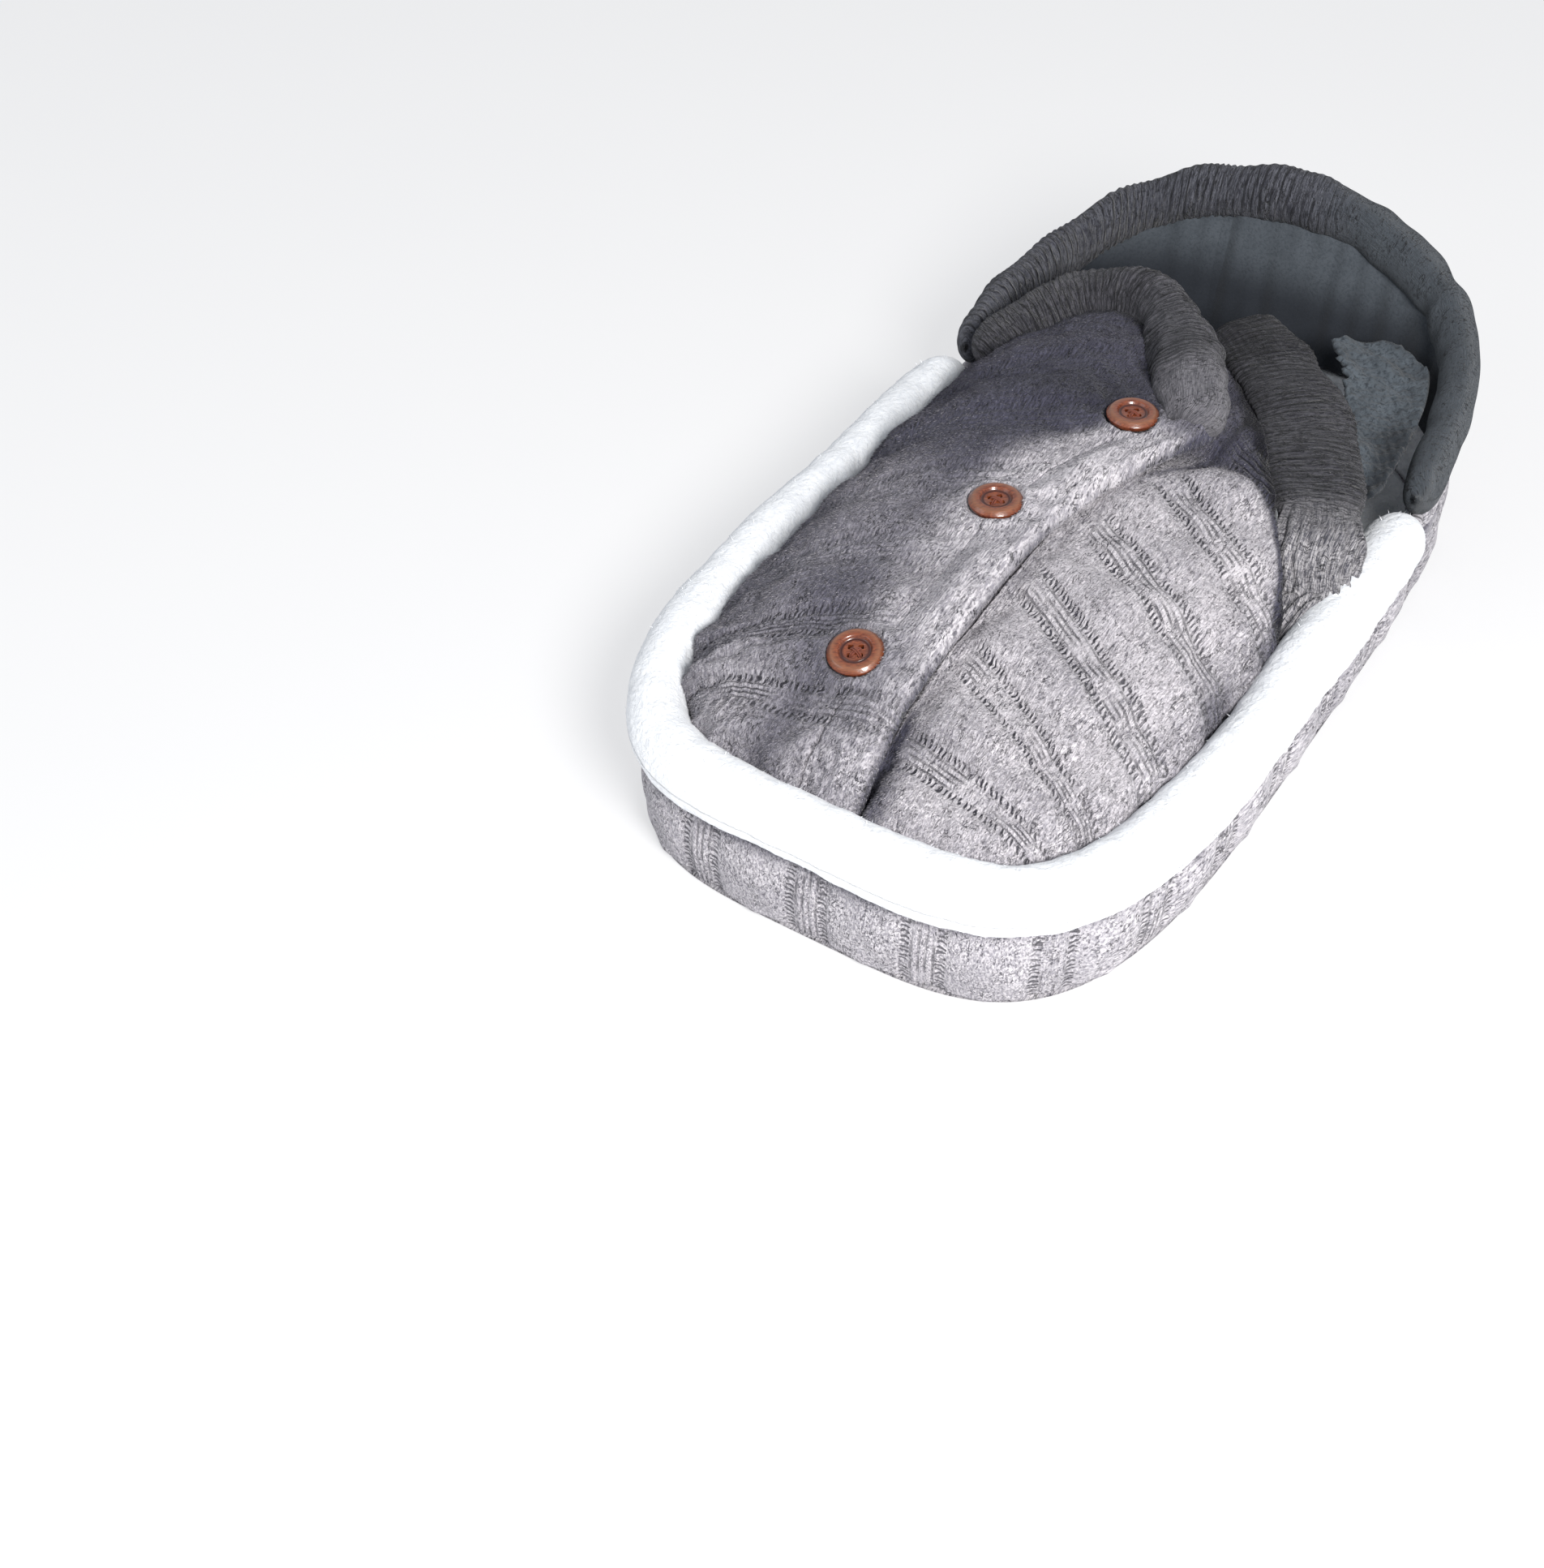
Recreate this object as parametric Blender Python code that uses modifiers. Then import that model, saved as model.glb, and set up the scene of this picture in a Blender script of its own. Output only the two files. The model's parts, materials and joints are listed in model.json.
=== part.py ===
"""A stroller sleeping bag, lying on its back and filled out as in use.

The origin is in the middle of its underside. +X is to the right of someone who stands at the foot end,
+Y points to the head and +Z up. Left and right are that person's.
"""

import math

import bmesh
import bpy
from mathutils import Matrix, Vector
from mathutils.bvhtree import BVHTree

# Whole bag, in metres
BAG_LENGTH = 0.780
BAG_WIDTH = 0.440
CORNER_POWER = 4

# Layers of cloth and filling
KNIT = 0.0025
FRONT_WADDING = 0.0060
FRONT_LINING = 0.0030
WALL_WADDING = 0.0080
WALL_LINING = 0.0030
BASE_WADDING = 0.0120
SEAM_GAP = 0.0005
WELD = 0.00001

# Side wall and the padded rim on it
WALL_HEIGHT = 0.0660
WALL_BULGE = 0.0050
RIM_THICKNESS = 0.0460
RIM_COVER = 0.0030
RIM_END_FROM_HEAD = 0.2300
RIM_END_LENGTH = 0.0300
RIM_END_SHARE = 0.55

# Front: two flaps that close over each other along a placket
FRONT_CLEARANCE = 0.0008
FRONT_FOOT_CLEARANCE = 0.0018
FRONT_CORNER_POWER = 4.15
FRONT_EDGE_HEIGHT = 0.0885
CROWN_HEIGHT = 0.1680
CROWN_POWER = 2.6
FAN_FROM_FOOT = 0.1700
FAN_START_SHARE = 0.6
NECK_RISE_SHARE = 0.45
FOOT_STEP_RUN = 0.0350
LEFT_NECK_SIDE_FROM_HEAD = 0.2820
LEFT_NECK_EDGE_FROM_HEAD = 0.3050
LEFT_NECK_RISE = 0.1080
RIGHT_NECK_SIDE_FROM_HEAD = 0.4250
RIGHT_NECK_EDGE_FROM_HEAD = 0.1600
RIGHT_NECK_RISE = 0.0220

# Placket bands on the free edges of the flaps
PLACKET_WIDTH = 0.0380
PLACKET_EDGE_X = 0.0110
PLACKET_NECK_SWING = 0.0520
PLACKET_SWING_FROM_HEAD = 0.5200
PLACKET_PROUD = 0.0005
PLACKET_SEAM_GAP = 0.0009
UNDERLAP_WIDTH = 0.0550
UNDERLAP_EDGE_X = 0.0070
UNDERLAP_NECK_FROM_HEAD = 0.2500
UNDERLAP_FOOT_SHARE = 0.97
UNDERLAP_DIP = 0.0040
UNDERLAP_DIP_START = 0.0140
UNDERLAP_DIP_RUN = 0.0480

# Collar: a thick roll on the left flap and a broad band on the right flap
ROLL_RADIUS = 0.0210
ROLL_COVER = 0.0030
ROLL_TUCK = 0.0013
ROLL_LIFT = 0.0060
ROLL_START_SHARE = 0.24
ROLL_END_SHARE = 0.7
BAND_HALF_WIDTH = 0.0290
BAND_HALF_THICKNESS = 0.0105
BAND_COVER = 0.0025
BAND_CLEARANCE = 0.0004
BAND_DROP = 0.0010
BAND_START_SHARE = 0.30
BAND_STOP_SHARE = 0.93
BAND_END_SHARE = 0.7

# Hood: a padded wall round the head with a ribbed band on its edge
HOOD_HEIGHT = 0.2290
HOOD_TIP_HEIGHT = 0.1300
HOOD_ARCH_POWER = 1.2
HOOD_BAND_HEIGHT = 0.0480
HOOD_BAND_WIDTH = 0.0320
HOOD_BAND_COVER = 0.0030
HOOD_SEAM_GAP = 0.0008

# Plush lapel: the corner of the hood's lining, turned out beside the right collar band
LAPEL_FOOT_FROM_HEAD = 0.2450
LAPEL_HEAD_FROM_HEAD = 0.0850
LAPEL_THICKNESS = 0.0060
LAPEL_REACH = 0.0800
LAPEL_FOOT_REACH = 0.0120
LAPEL_POWER = 1.4
LAPEL_EDGE_HEIGHT = 0.1280
LAPEL_SAG = 0.0120
LAPEL_WALL_GAP = 0.0036

# Buttons, their thread and the press studs that hold the placket
BUTTON_DIAMETER = 0.0400
BUTTON_THICKNESS = 0.0065
BUTTON_RECESS = 0.0020
BUTTON_DISH_SHARE = 0.48
BUTTON_CREST_SHARE = 0.58
BUTTON_BEVEL_SHARE = 0.86
BUTTON_EDGE_SHARE = 0.55
BUTTON_FOOT_SHARE = 0.93
BUTTON_HOLE_DIAMETER = 0.0034
BUTTON_HOLE_SPACING = 0.0070
BUTTON_SEAT_GAP = 0.0004
LOWER_BUTTON_X = -0.0400
LOWER_BUTTON_FROM_FOOT = 0.1350
MIDDLE_BUTTON_X = -0.0310
UPPER_BUTTON_X = 0.0030
UPPER_BUTTON_FROM_HEAD = 0.3270
MIDDLE_BUTTON_SHARE = 0.54
DIMPLE_DEPTH = 0.0045
DIMPLE_REACH = 0.0270
DIMPLE_POWER = 4
THREAD_RADIUS = 0.0006
THREAD_CLEARANCE = 0.0004
STUD_DIAMETER = 0.0130
STUD_BORE = 0.0090
STUD_RING_HEIGHT = 0.0016
STUD_PLATE_HEIGHT = 0.0010
STUD_POST_DIAMETER = 0.0045
STUD_POST_HEIGHT = 0.0012
STUD_SEAT_GAP = 0.0003
STUD_SPACE = 0.0055

# How finely the shapes are divided
RING_STEPS = 36
WALL_UP_STEPS = 2
FRONT_LONG_STEPS = 14
FRONT_CROSS_STEPS = 9
PLACKET_LONG_STEPS = 16
PLACKET_CROSS_STEPS = 2
RIM_STEPS = 36
ROLL_STEPS = 14
BAND_STEPS = 10
TUBE_SIDES = 8
HOOD_ROUND_STEPS = 20
HOOD_UP_STEPS = 3
LAPEL_LONG_STEPS = 8
LAPEL_CROSS_STEPS = 3
BUTTON_SIDES = 20
HOLE_SIDES = 8
STUD_SIDES = 12
SHARP_ANGLE = math.radians(40)

# Sizes that follow from those above
RING_HALF_WIDTH = (BAG_WIDTH - RIM_THICKNESS) / 2
RING_HALF_LENGTH = (BAG_LENGTH - RIM_THICKNESS) / 2
WALL_THICKNESS = KNIT + WALL_WADDING + WALL_LINING + 2 * SEAM_GAP
RIM_CENTRE_Z = WALL_HEIGHT + RIM_THICKNESS / 2
FOLD_Z = RIM_CENTRE_Z + RIM_THICKNESS / 2
FRONT_HALF_WIDTH = RING_HALF_WIDTH - RIM_THICKNESS / 2 - FRONT_CLEARANCE
FRONT_HALF_LENGTH = RING_HALF_LENGTH - RIM_THICKNESS / 2 - FRONT_FOOT_CLEARANCE
FRONT_THICKNESS = KNIT + FRONT_WADDING + FRONT_LINING + 2 * SEAM_GAP
FLAP_STEP = FRONT_THICKNESS + STUD_SPACE
HOOD_LEAN = (RIM_THICKNESS - HOOD_BAND_WIDTH) / 2
THREAD_DROP = 2 * THREAD_RADIUS + THREAD_CLEARANCE

# Places along the bag, from its middle
HEAD_Y = BAG_LENGTH / 2
FOOT_Y = -BAG_LENGTH / 2
RIM_HEAD_Y = HEAD_Y - RIM_END_FROM_HEAD
FAN_Y = FOOT_Y + FAN_FROM_FOOT
LEFT_NECK_EDGE_Y = HEAD_Y - LEFT_NECK_EDGE_FROM_HEAD
PLACKET_SWING_Y = HEAD_Y - PLACKET_SWING_FROM_HEAD
UNDERLAP_NECK_Y = HEAD_Y - UNDERLAP_NECK_FROM_HEAD
LAPEL_FOOT_Y = HEAD_Y - LAPEL_FOOT_FROM_HEAD
LAPEL_HEAD_Y = HEAD_Y - LAPEL_HEAD_FROM_HEAD
LOWER_BUTTON_Y = FOOT_Y + LOWER_BUTTON_FROM_FOOT
UPPER_BUTTON_Y = HEAD_Y - UPPER_BUTTON_FROM_HEAD
MIDDLE_BUTTON_Y = LOWER_BUTTON_Y + (UPPER_BUTTON_Y - LOWER_BUTTON_Y) * MIDDLE_BUTTON_SHARE
BUTTON_PLACES = {
    "lower": (LOWER_BUTTON_X, LOWER_BUTTON_Y),
    "middle": (MIDDLE_BUTTON_X, MIDDLE_BUTTON_Y),
    "upper": (UPPER_BUTTON_X, UPPER_BUTTON_Y),
}

LEFT = {
    "side": -1,
    "crown": CROWN_HEIGHT,
    "foot_step": 0,
    "neck_side_y": HEAD_Y - LEFT_NECK_SIDE_FROM_HEAD,
    "neck_edge_y": LEFT_NECK_EDGE_Y,
    "neck_rise": LEFT_NECK_RISE,
    "dimples": tuple(BUTTON_PLACES.values()),
    "dip": 0,
}
RIGHT = {
    "side": 1,
    "crown": CROWN_HEIGHT - FLAP_STEP,
    "foot_step": FLAP_STEP,
    "neck_side_y": HEAD_Y - RIGHT_NECK_SIDE_FROM_HEAD,
    "neck_edge_y": HEAD_Y - RIGHT_NECK_EDGE_FROM_HEAD,
    "neck_rise": RIGHT_NECK_RISE,
    "dimples": (),
    "dip": UNDERLAP_DIP,
}


def smooth(share):
    """A share from 0 to 1 with level ends."""
    held = min(max(share, 0), 1)
    return held * held * (3 - 2 * held)


def mixed(first, last, share):
    return first + (last - first) * share


# Plan of the bag: a rectangle with round corners


def outline_point(angle, half_width, half_length, power=CORNER_POWER):
    """A point of the plan, at an angle that starts on the right-hand side and turns towards the head."""
    across = math.cos(angle)
    along = math.sin(angle)
    reach = (abs(across) ** power + abs(along) ** power) ** (-1 / power)
    return Vector((half_width * across * reach, half_length * along * reach, 0))


def outline_angle(y, half_length, power=CORNER_POWER):
    """The angle at which the right-hand side of the plan has this y."""
    share = y / half_length
    return math.atan(share / (1 - abs(share) ** power) ** (1 / power))


def ring_point(angle, outwards=0):
    """A point of the side wall's middle line, or one that lies outwards of it."""
    point = outline_point(angle, RING_HALF_WIDTH, RING_HALF_LENGTH)
    slope = Vector(
        (
            math.copysign(abs(point.x / RING_HALF_WIDTH) ** (CORNER_POWER - 1), point.x) / RING_HALF_WIDTH,
            math.copysign(abs(point.y / RING_HALF_LENGTH) ** (CORNER_POWER - 1), point.y) / RING_HALF_LENGTH,
            0,
        )
    )
    return point + slope.normalized() * outwards


# Shape of the buttoned front


def foot_length(flap, x):
    """How far a flap reaches towards the foot: the lower flap is shorter where the upper one covers it."""
    covered = smooth((PLACKET_EDGE_X + FOOT_STEP_RUN - x) / FOOT_STEP_RUN)
    return FRONT_HALF_LENGTH - flap["foot_step"] * covered


def front_height(flap, x, y, dimpled=True):
    """Height of a flap's outer face over a point of the plan."""
    power = FRONT_CORNER_POWER
    across = abs(x) / FRONT_HALF_WIDTH
    along = max(-y, 0) / foot_length(flap, x)
    reach = min((across**power + along**power) ** (1 / power), 1)
    swell = math.sqrt(1 - reach**CROWN_POWER)
    height = mixed(FRONT_EDGE_HEIGHT, flap["crown"], swell)
    for button_x, button_y in flap["dimples"] if dimpled else ():
        distance = math.hypot(x - button_x, y - button_y) / DIMPLE_REACH
        height -= DIMPLE_DEPTH * math.exp(-(distance**DIMPLE_POWER))
    under = (placket_edge(y) + UNDERLAP_DIP_START - x) / UNDERLAP_DIP_RUN
    return height - flap["dip"] * smooth(under)


def placket_edge(y):
    """The free edge of the left flap: straight from the foot, then swinging out to the right at the neck."""
    run = LEFT_NECK_EDGE_Y - PLACKET_SWING_Y
    swing = min(max((y - PLACKET_SWING_Y) / run, 0), 1)
    return PLACKET_EDGE_X + PLACKET_NECK_SWING * swing * swing


def panel_edge(flap, y):
    """Where the layers of a flap end and its placket band begins."""
    if flap is LEFT:
        return placket_edge(y) - PLACKET_WIDTH - PLACKET_SEAM_GAP
    return UNDERLAP_EDGE_X + PLACKET_SEAM_GAP


def front_point(flap, along, across):
    """A point of a flap's outer face: along runs from neck to foot, across from the outer seam to the placket."""
    power = FRONT_CORNER_POWER
    neck_angle = outline_angle(flap["neck_side_y"], FRONT_HALF_LENGTH, power)
    angle = mixed(neck_angle, -math.pi / 2, along)
    border = outline_point(angle, FRONT_HALF_WIDTH, FRONT_HALF_LENGTH, power)
    border.x *= flap["side"]
    middle = Vector((0, mixed(flap["neck_edge_y"], FAN_Y, along), 0))
    rise = 1 - math.cos(math.pi / 2 * across)
    point = border.lerp(middle, rise)
    neck = max(1 - along / NECK_RISE_SHARE, 0)
    point.y += flap["neck_rise"] * neck * neck * math.sin(math.pi * rise)
    fan = smooth((along - FAN_START_SHARE) / (1 - FAN_START_SHARE))
    at_edge = 1 - (1 - across * across) * (1 - fan)
    point.x += panel_edge(flap, point.y) * at_edge
    if point.y < 0:
        point.y *= foot_length(flap, point.x) / FRONT_HALF_LENGTH
    point.z = front_height(flap, point.x, point.y)
    return point


def left_placket_point(along, across):
    """A point of the upper band's outer face: along runs from neck to foot, across from left to right."""
    y = mixed(LEFT_NECK_EDGE_Y, -FRONT_HALF_LENGTH, math.sin(math.pi / 2 * along))
    x = placket_edge(y) - PLACKET_WIDTH * (1 - across)
    return Vector((x, y, front_height(LEFT, x, y) + PLACKET_PROUD))


def right_placket_point(along, across):
    """A point of the lower band's outer face, which follows the inner face of the left flap over it."""
    fall = math.sin(math.pi / 2 * along)
    y = mixed(UNDERLAP_NECK_Y, -UNDERLAP_FOOT_SHARE * FRONT_HALF_LENGTH, fall)
    x = UNDERLAP_EDGE_X - UNDERLAP_WIDTH * (1 - across)
    inwards = normal_at(LEFT, x, y, False) * (FLAP_STEP + UNDERLAP_DIP)
    inwards.x = 0
    return Vector((x, y, front_height(LEFT, x, y, False))) - inwards


def normal_at(flap, x, y, dimpled=True):
    """The direction square to a flap's outer face."""
    run = KNIT
    step = run / 2
    rise_x = front_height(flap, x + step, y, dimpled) - front_height(flap, x - step, y, dimpled)
    rise_y = front_height(flap, x, y + step, dimpled) - front_height(flap, x, y - step, dimpled)
    return Vector((-rise_x, -rise_y, run)).normalized()


# Meshes and objects


def grid_mesh(name, place, along, across, closed=False, capped=False, flipped=False):
    """A sheet whose points place(along share, across share) puts where they belong. Closed makes it a tube."""
    built = bmesh.new()
    bmesh.ops.create_grid(built, x_segments=along, y_segments=across, size=1)
    for vertex in built.verts:
        vertex.co = place((vertex.co.x + 1) / 2, (vertex.co.y + 1) / 2)
    if closed:
        bmesh.ops.remove_doubles(built, verts=built.verts, dist=WELD)
    if capped:
        bmesh.ops.holes_fill(built, edges=[edge for edge in built.edges if edge.is_boundary])
        bmesh.ops.recalc_face_normals(built, faces=built.faces)
    if flipped:
        bmesh.ops.reverse_faces(built, faces=built.faces)
    mesh = bpy.data.meshes.new(name)
    built.to_mesh(mesh)
    built.free()
    mesh.shade_smooth()
    return mesh


def make_material(name, colour, roughness, metallic=0):
    material = bpy.data.materials.new(name)
    material.use_nodes = True
    material.diffuse_color = (*colour, 1)
    shader = material.node_tree.nodes["Principled BSDF"]
    shader.inputs["Base Color"].default_value = (*colour, 1)
    shader.inputs["Roughness"].default_value = roughness
    shader.inputs["Metallic"].default_value = metallic
    return material


def make_collection(name):
    collection = bpy.data.collections.new(name)
    bpy.context.scene.collection.children.link(collection)
    return collection


def add_object(name, data, material, parent, collection):
    """A named object on its parent empty, with its own copy of the material."""
    thing = bpy.data.objects.new(name, data)
    own = material.copy()
    own.name = name + "_material"
    data.materials.clear()
    data.materials.append(own)
    collection.objects.link(thing)
    hang(thing, parent)
    return thing


def hang(thing, parent):
    """Parents a thing to an empty and leaves it where it is."""
    if parent is not None:
        thing.parent = parent
        thing.matrix_parent_inverse = parent.matrix_basis.inverted()


def add_empty(name, place, collection, direction=None, parent=None):
    """An empty on a joint's axis, its Z axis turned to the given direction."""
    empty = bpy.data.objects.new(name, None)
    empty.empty_display_size = BUTTON_DIAMETER
    turn = Matrix.Identity(4)
    if direction is not None:
        turn = direction.to_track_quat("Z", "Y").to_matrix().to_4x4()
    empty.matrix_basis = Matrix.Translation(place) @ turn
    collection.objects.link(empty)
    hang(empty, parent)
    return empty


def thicken(thing, thickness, depth=0):
    """Turns a sheet into a layer: it starts this depth below the sheet and is this thick."""
    if depth:
        sink = thing.modifiers.new("depth", "DISPLACE")
        sink.mid_level = 0
        sink.strength = -depth
    shell = thing.modifiers.new("thickness", "SOLIDIFY")
    shell.thickness = thickness
    shell.offset = -1


def add_layers(names, thicknesses, materials, parent, collection, **grid):
    """Layers that lie on each other under one face, the outermost first."""
    depth = 0
    for name, thickness, material in zip(names, thicknesses, materials):
        thing = add_object(name, grid_mesh(name, **grid), material, parent, collection)
        thicken(thing, thickness, depth)
        depth += thickness + SEAM_GAP


def tube_place(path, half_width, half_height, upright=False):
    """Places the points of a tube round a path, all of them functions of the share of its length."""

    def place(along, around):
        step = WELD
        ahead = path(min(along + step, 1)) - path(max(along - step, 0))
        if upright:
            ahead.z = 0
        sideways = ahead.cross(Vector((0, 0, 1))).normalized()
        upwards = sideways.cross(ahead.normalized())
        turn = 2 * math.pi * around
        return (
            path(along)
            + sideways * (half_width(along) * math.cos(turn))
            + upwards * (half_height(along) * math.sin(turn))
        )

    return place


def add_roll(name, path, half_width, half_height, cover, steps, materials, parent, collection, upright=False):
    """A padded roll: a cloth cover, open at its ends, round a core of wadding."""
    outside = tube_place(path, half_width, half_height, upright)
    mesh = grid_mesh(name + "_cover", outside, steps, TUBE_SIDES, closed=True)
    thing = add_object(name + "_cover", mesh, materials[0], parent, collection)
    thicken(thing, cover)
    inset = cover + 2 * SEAM_GAP
    inside = tube_place(
        path,
        lambda along: half_width(along) - inset,
        lambda along: half_height(along) - inset,
        upright,
    )
    mesh = grid_mesh(name + "_wadding", inside, steps, TUBE_SIDES, closed=True, capped=True)
    add_object(name + "_wadding", mesh, materials[1], parent, collection)


# Sub-parts


def add_base(materials, collection):
    """The flat back of the bag: a knit panel on the floor, wadding on it, and the plush that one lies on."""
    inner_edge = -WALL_THICKNESS / 2 - SEAM_GAP
    layers = (
        ("back_knit_panel", WALL_THICKNESS / 2, KNIT, materials["knit"]),
        ("back_wadding", inner_edge, BASE_WADDING, materials["wadding"]),
        ("back_plush_lining", inner_edge, WALL_LINING, materials["plush"]),
    )
    bottom = 0
    for name, outwards, thickness, material in layers:
        curve = bpy.data.curves.new(name, "CURVE")
        curve.dimensions = "2D"
        curve.fill_mode = "BOTH"
        curve.extrude = thickness / 2
        spline = curve.splines.new("POLY")
        spline.points.add(RING_STEPS - 1)
        spline.use_cyclic_u = True
        for step, point in enumerate(spline.points):
            place = ring_point(2 * math.pi * step / RING_STEPS, outwards)
            point.co = (place.x, place.y, 0, 1)
        thing = add_object(name, curve, material, None, collection)
        thing.location.z = bottom + thickness / 2
        bottom += thickness + SEAM_GAP


def add_side_wall(materials, collection):
    """The upright wall round the whole bag, in three layers, standing on the back panel."""
    bottom = KNIT + SEAM_GAP

    def place(along, up):
        bulge = WALL_BULGE * math.sin(math.pi * up)
        point = ring_point(2 * math.pi * along, WALL_THICKNESS / 2 + bulge)
        point.z = mixed(bottom, WALL_HEIGHT, up)
        return point

    add_layers(
        ("side_wall_knit", "side_wall_wadding", "side_wall_plush_lining"),
        (KNIT, WALL_WADDING, WALL_LINING),
        (materials["knit"], materials["wadding"], materials["plush"]),
        None,
        collection,
        place=place,
        along=RING_STEPS,
        across=WALL_UP_STEPS,
        closed=True,
    )


def add_rim(materials, collection):
    """The white padded roll on the side wall, from one side of the head round the foot to the other."""
    head_angle = outline_angle(RIM_HEAD_Y, RING_HALF_LENGTH)
    first = math.pi - head_angle
    last = 2 * math.pi + head_angle

    def path(along):
        return ring_point(mixed(first, last, along)) + Vector((0, 0, RIM_CENTRE_Z))

    length = sum((path((step + 1) / RIM_STEPS) - path(step / RIM_STEPS)).length for step in range(RIM_STEPS))

    def radius(along):
        from_end = min(along, 1 - along) * length / RIM_END_LENGTH
        return RIM_THICKNESS / 2 * mixed(RIM_END_SHARE, 1, math.sqrt(min(from_end, 1)))

    add_roll(
        "plush_rim",
        path,
        radius,
        radius,
        RIM_COVER,
        RIM_STEPS,
        (materials["plush"], materials["wadding"]),
        None,
        collection,
    )


def add_front(flap, word, placket_point, parent, materials, collection):
    """One flap of the front: knit outside, wadding, and plush inside, with a band along its free edge."""
    add_layers(
        (word + "_front_knit", word + "_front_wadding", word + "_front_plush_lining"),
        (KNIT, FRONT_WADDING, FRONT_LINING),
        (materials["knit"], materials["wadding"], materials["plush"]),
        parent,
        collection,
        place=lambda along, across: front_point(flap, along, across),
        along=FRONT_LONG_STEPS,
        across=FRONT_CROSS_STEPS,
        flipped=flap is RIGHT,
    )
    name = word + "_placket_band"
    mesh = grid_mesh(name, placket_point, PLACKET_LONG_STEPS, PLACKET_CROSS_STEPS)
    thing = add_object(name, mesh, materials["band"], parent, collection)
    thicken(thing, FRONT_THICKNESS)


def add_left_collar(parent, materials, collection):
    """The thick ribbed roll along the neck edge of the left flap."""

    def path(along):
        across = mixed(ROLL_START_SHARE, 1, along)
        edge = front_point(LEFT, 0, across)
        step = WELD / KNIT
        ahead = front_point(LEFT, 0, min(across + step, 1)) - front_point(LEFT, 0, across - step)
        square = normal_at(LEFT, edge.x, edge.y)
        outwards = square.cross(ahead).normalized()
        return edge + outwards * (ROLL_RADIUS - ROLL_TUCK) + square * ROLL_LIFT

    def radius(along):
        return ROLL_RADIUS * mixed(ROLL_END_SHARE, 1, math.sqrt(math.sin(math.pi * along)))

    add_roll(
        "left_collar",
        path,
        radius,
        radius,
        ROLL_COVER,
        ROLL_STEPS,
        (materials["rib"], materials["wadding"]),
        parent,
        collection,
    )


def add_right_collar(parent, materials, collection):
    """The broad ribbed band on the neck edge of the right flap."""

    def half_width(along):
        return BAND_HALF_WIDTH * mixed(BAND_END_SHARE, 1, math.sin(math.pi * along))

    def path(along):
        across = mixed(BAND_START_SHARE, BAND_STOP_SHARE, along)
        edge = front_point(RIGHT, 0, across)
        step = WELD / KNIT
        ahead = front_point(RIGHT, 0, across + step) - front_point(RIGHT, 0, across - step)
        outwards = ahead.cross(Vector((0, 0, 1))).normalized()
        drop = Vector((0, 0, BAND_DROP))
        return edge + outwards * (half_width(along) + BAND_CLEARANCE) - drop

    add_roll(
        "right_collar",
        path,
        half_width,
        lambda along: BAND_HALF_THICKNESS,
        BAND_COVER,
        BAND_STEPS,
        (materials["rib"], materials["wadding"]),
        parent,
        collection,
    )


def hood_angle(along):
    """The plan angle of a place on the hood, from its right tip round the head to its left tip."""
    tip = outline_angle(RIM_HEAD_Y + RIM_END_LENGTH / 2, RING_HALF_LENGTH)
    return mixed(tip, math.pi - tip, along)


def hood_top(along):
    """Height of the hood's edge: low at its two tips and highest behind the head."""
    arch = math.sin(math.pi * along) ** HOOD_ARCH_POWER
    return mixed(HOOD_TIP_HEIGHT, HOOD_HEIGHT, arch)


def hood_place(along, up):
    lean = HOOD_LEAN * math.sin(math.pi * along) * up
    bottom = WALL_HEIGHT + SEAM_GAP
    top = hood_top(along) - HOOD_BAND_HEIGHT - HOOD_SEAM_GAP
    point = ring_point(hood_angle(along), WALL_THICKNESS / 2 + lean)
    point.z = mixed(bottom, top, up)
    return point


def hood_band_path(along):
    lean = HOOD_LEAN * math.sin(math.pi * along)
    point = ring_point(hood_angle(along), lean)
    point.z = hood_top(along) - HOOD_BAND_HEIGHT / 2
    return point


def add_hood(parent, materials, collection):
    """The hood: three layers behind and beside the head, and a ribbed padded band along their edge."""
    add_layers(
        ("hood_knit", "hood_wadding", "hood_plush_lining"),
        (KNIT, WALL_WADDING, WALL_LINING),
        (materials["knit"], materials["wadding"], materials["fleece"]),
        parent,
        collection,
        place=hood_place,
        along=HOOD_ROUND_STEPS,
        across=HOOD_UP_STEPS,
    )
    add_roll(
        "hood_band",
        hood_band_path,
        lambda along: HOOD_BAND_WIDTH / 2,
        lambda along: HOOD_BAND_HEIGHT / 2,
        HOOD_BAND_COVER,
        HOOD_ROUND_STEPS,
        (materials["rib"], materials["wadding"]),
        parent,
        collection,
        upright=True,
    )


def lapel_place(along, across):
    """A point of the lapel: along runs from its foot to its head, across from the hood to its free edge."""
    y = mixed(LAPEL_FOOT_Y, LAPEL_HEAD_Y, along)
    wall = ring_point(outline_angle(y, RING_HALF_LENGTH), -HOOD_BAND_WIDTH / 2 - LAPEL_WALL_GAP)
    reach = mixed(LAPEL_FOOT_REACH, LAPEL_REACH, along**LAPEL_POWER)
    x = wall.x - reach * across
    height = LAPEL_EDGE_HEIGHT - LAPEL_SAG * math.sin(math.pi * across)
    return Vector((x, y, height))


def add_lapel(parent, materials, collection):
    mesh = grid_mesh("hood_plush_lapel", lapel_place, LAPEL_LONG_STEPS, LAPEL_CROSS_STEPS)
    thing = add_object("hood_plush_lapel", mesh, materials["fleece"], parent, collection)
    thicken(thing, LAPEL_THICKNESS)


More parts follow.
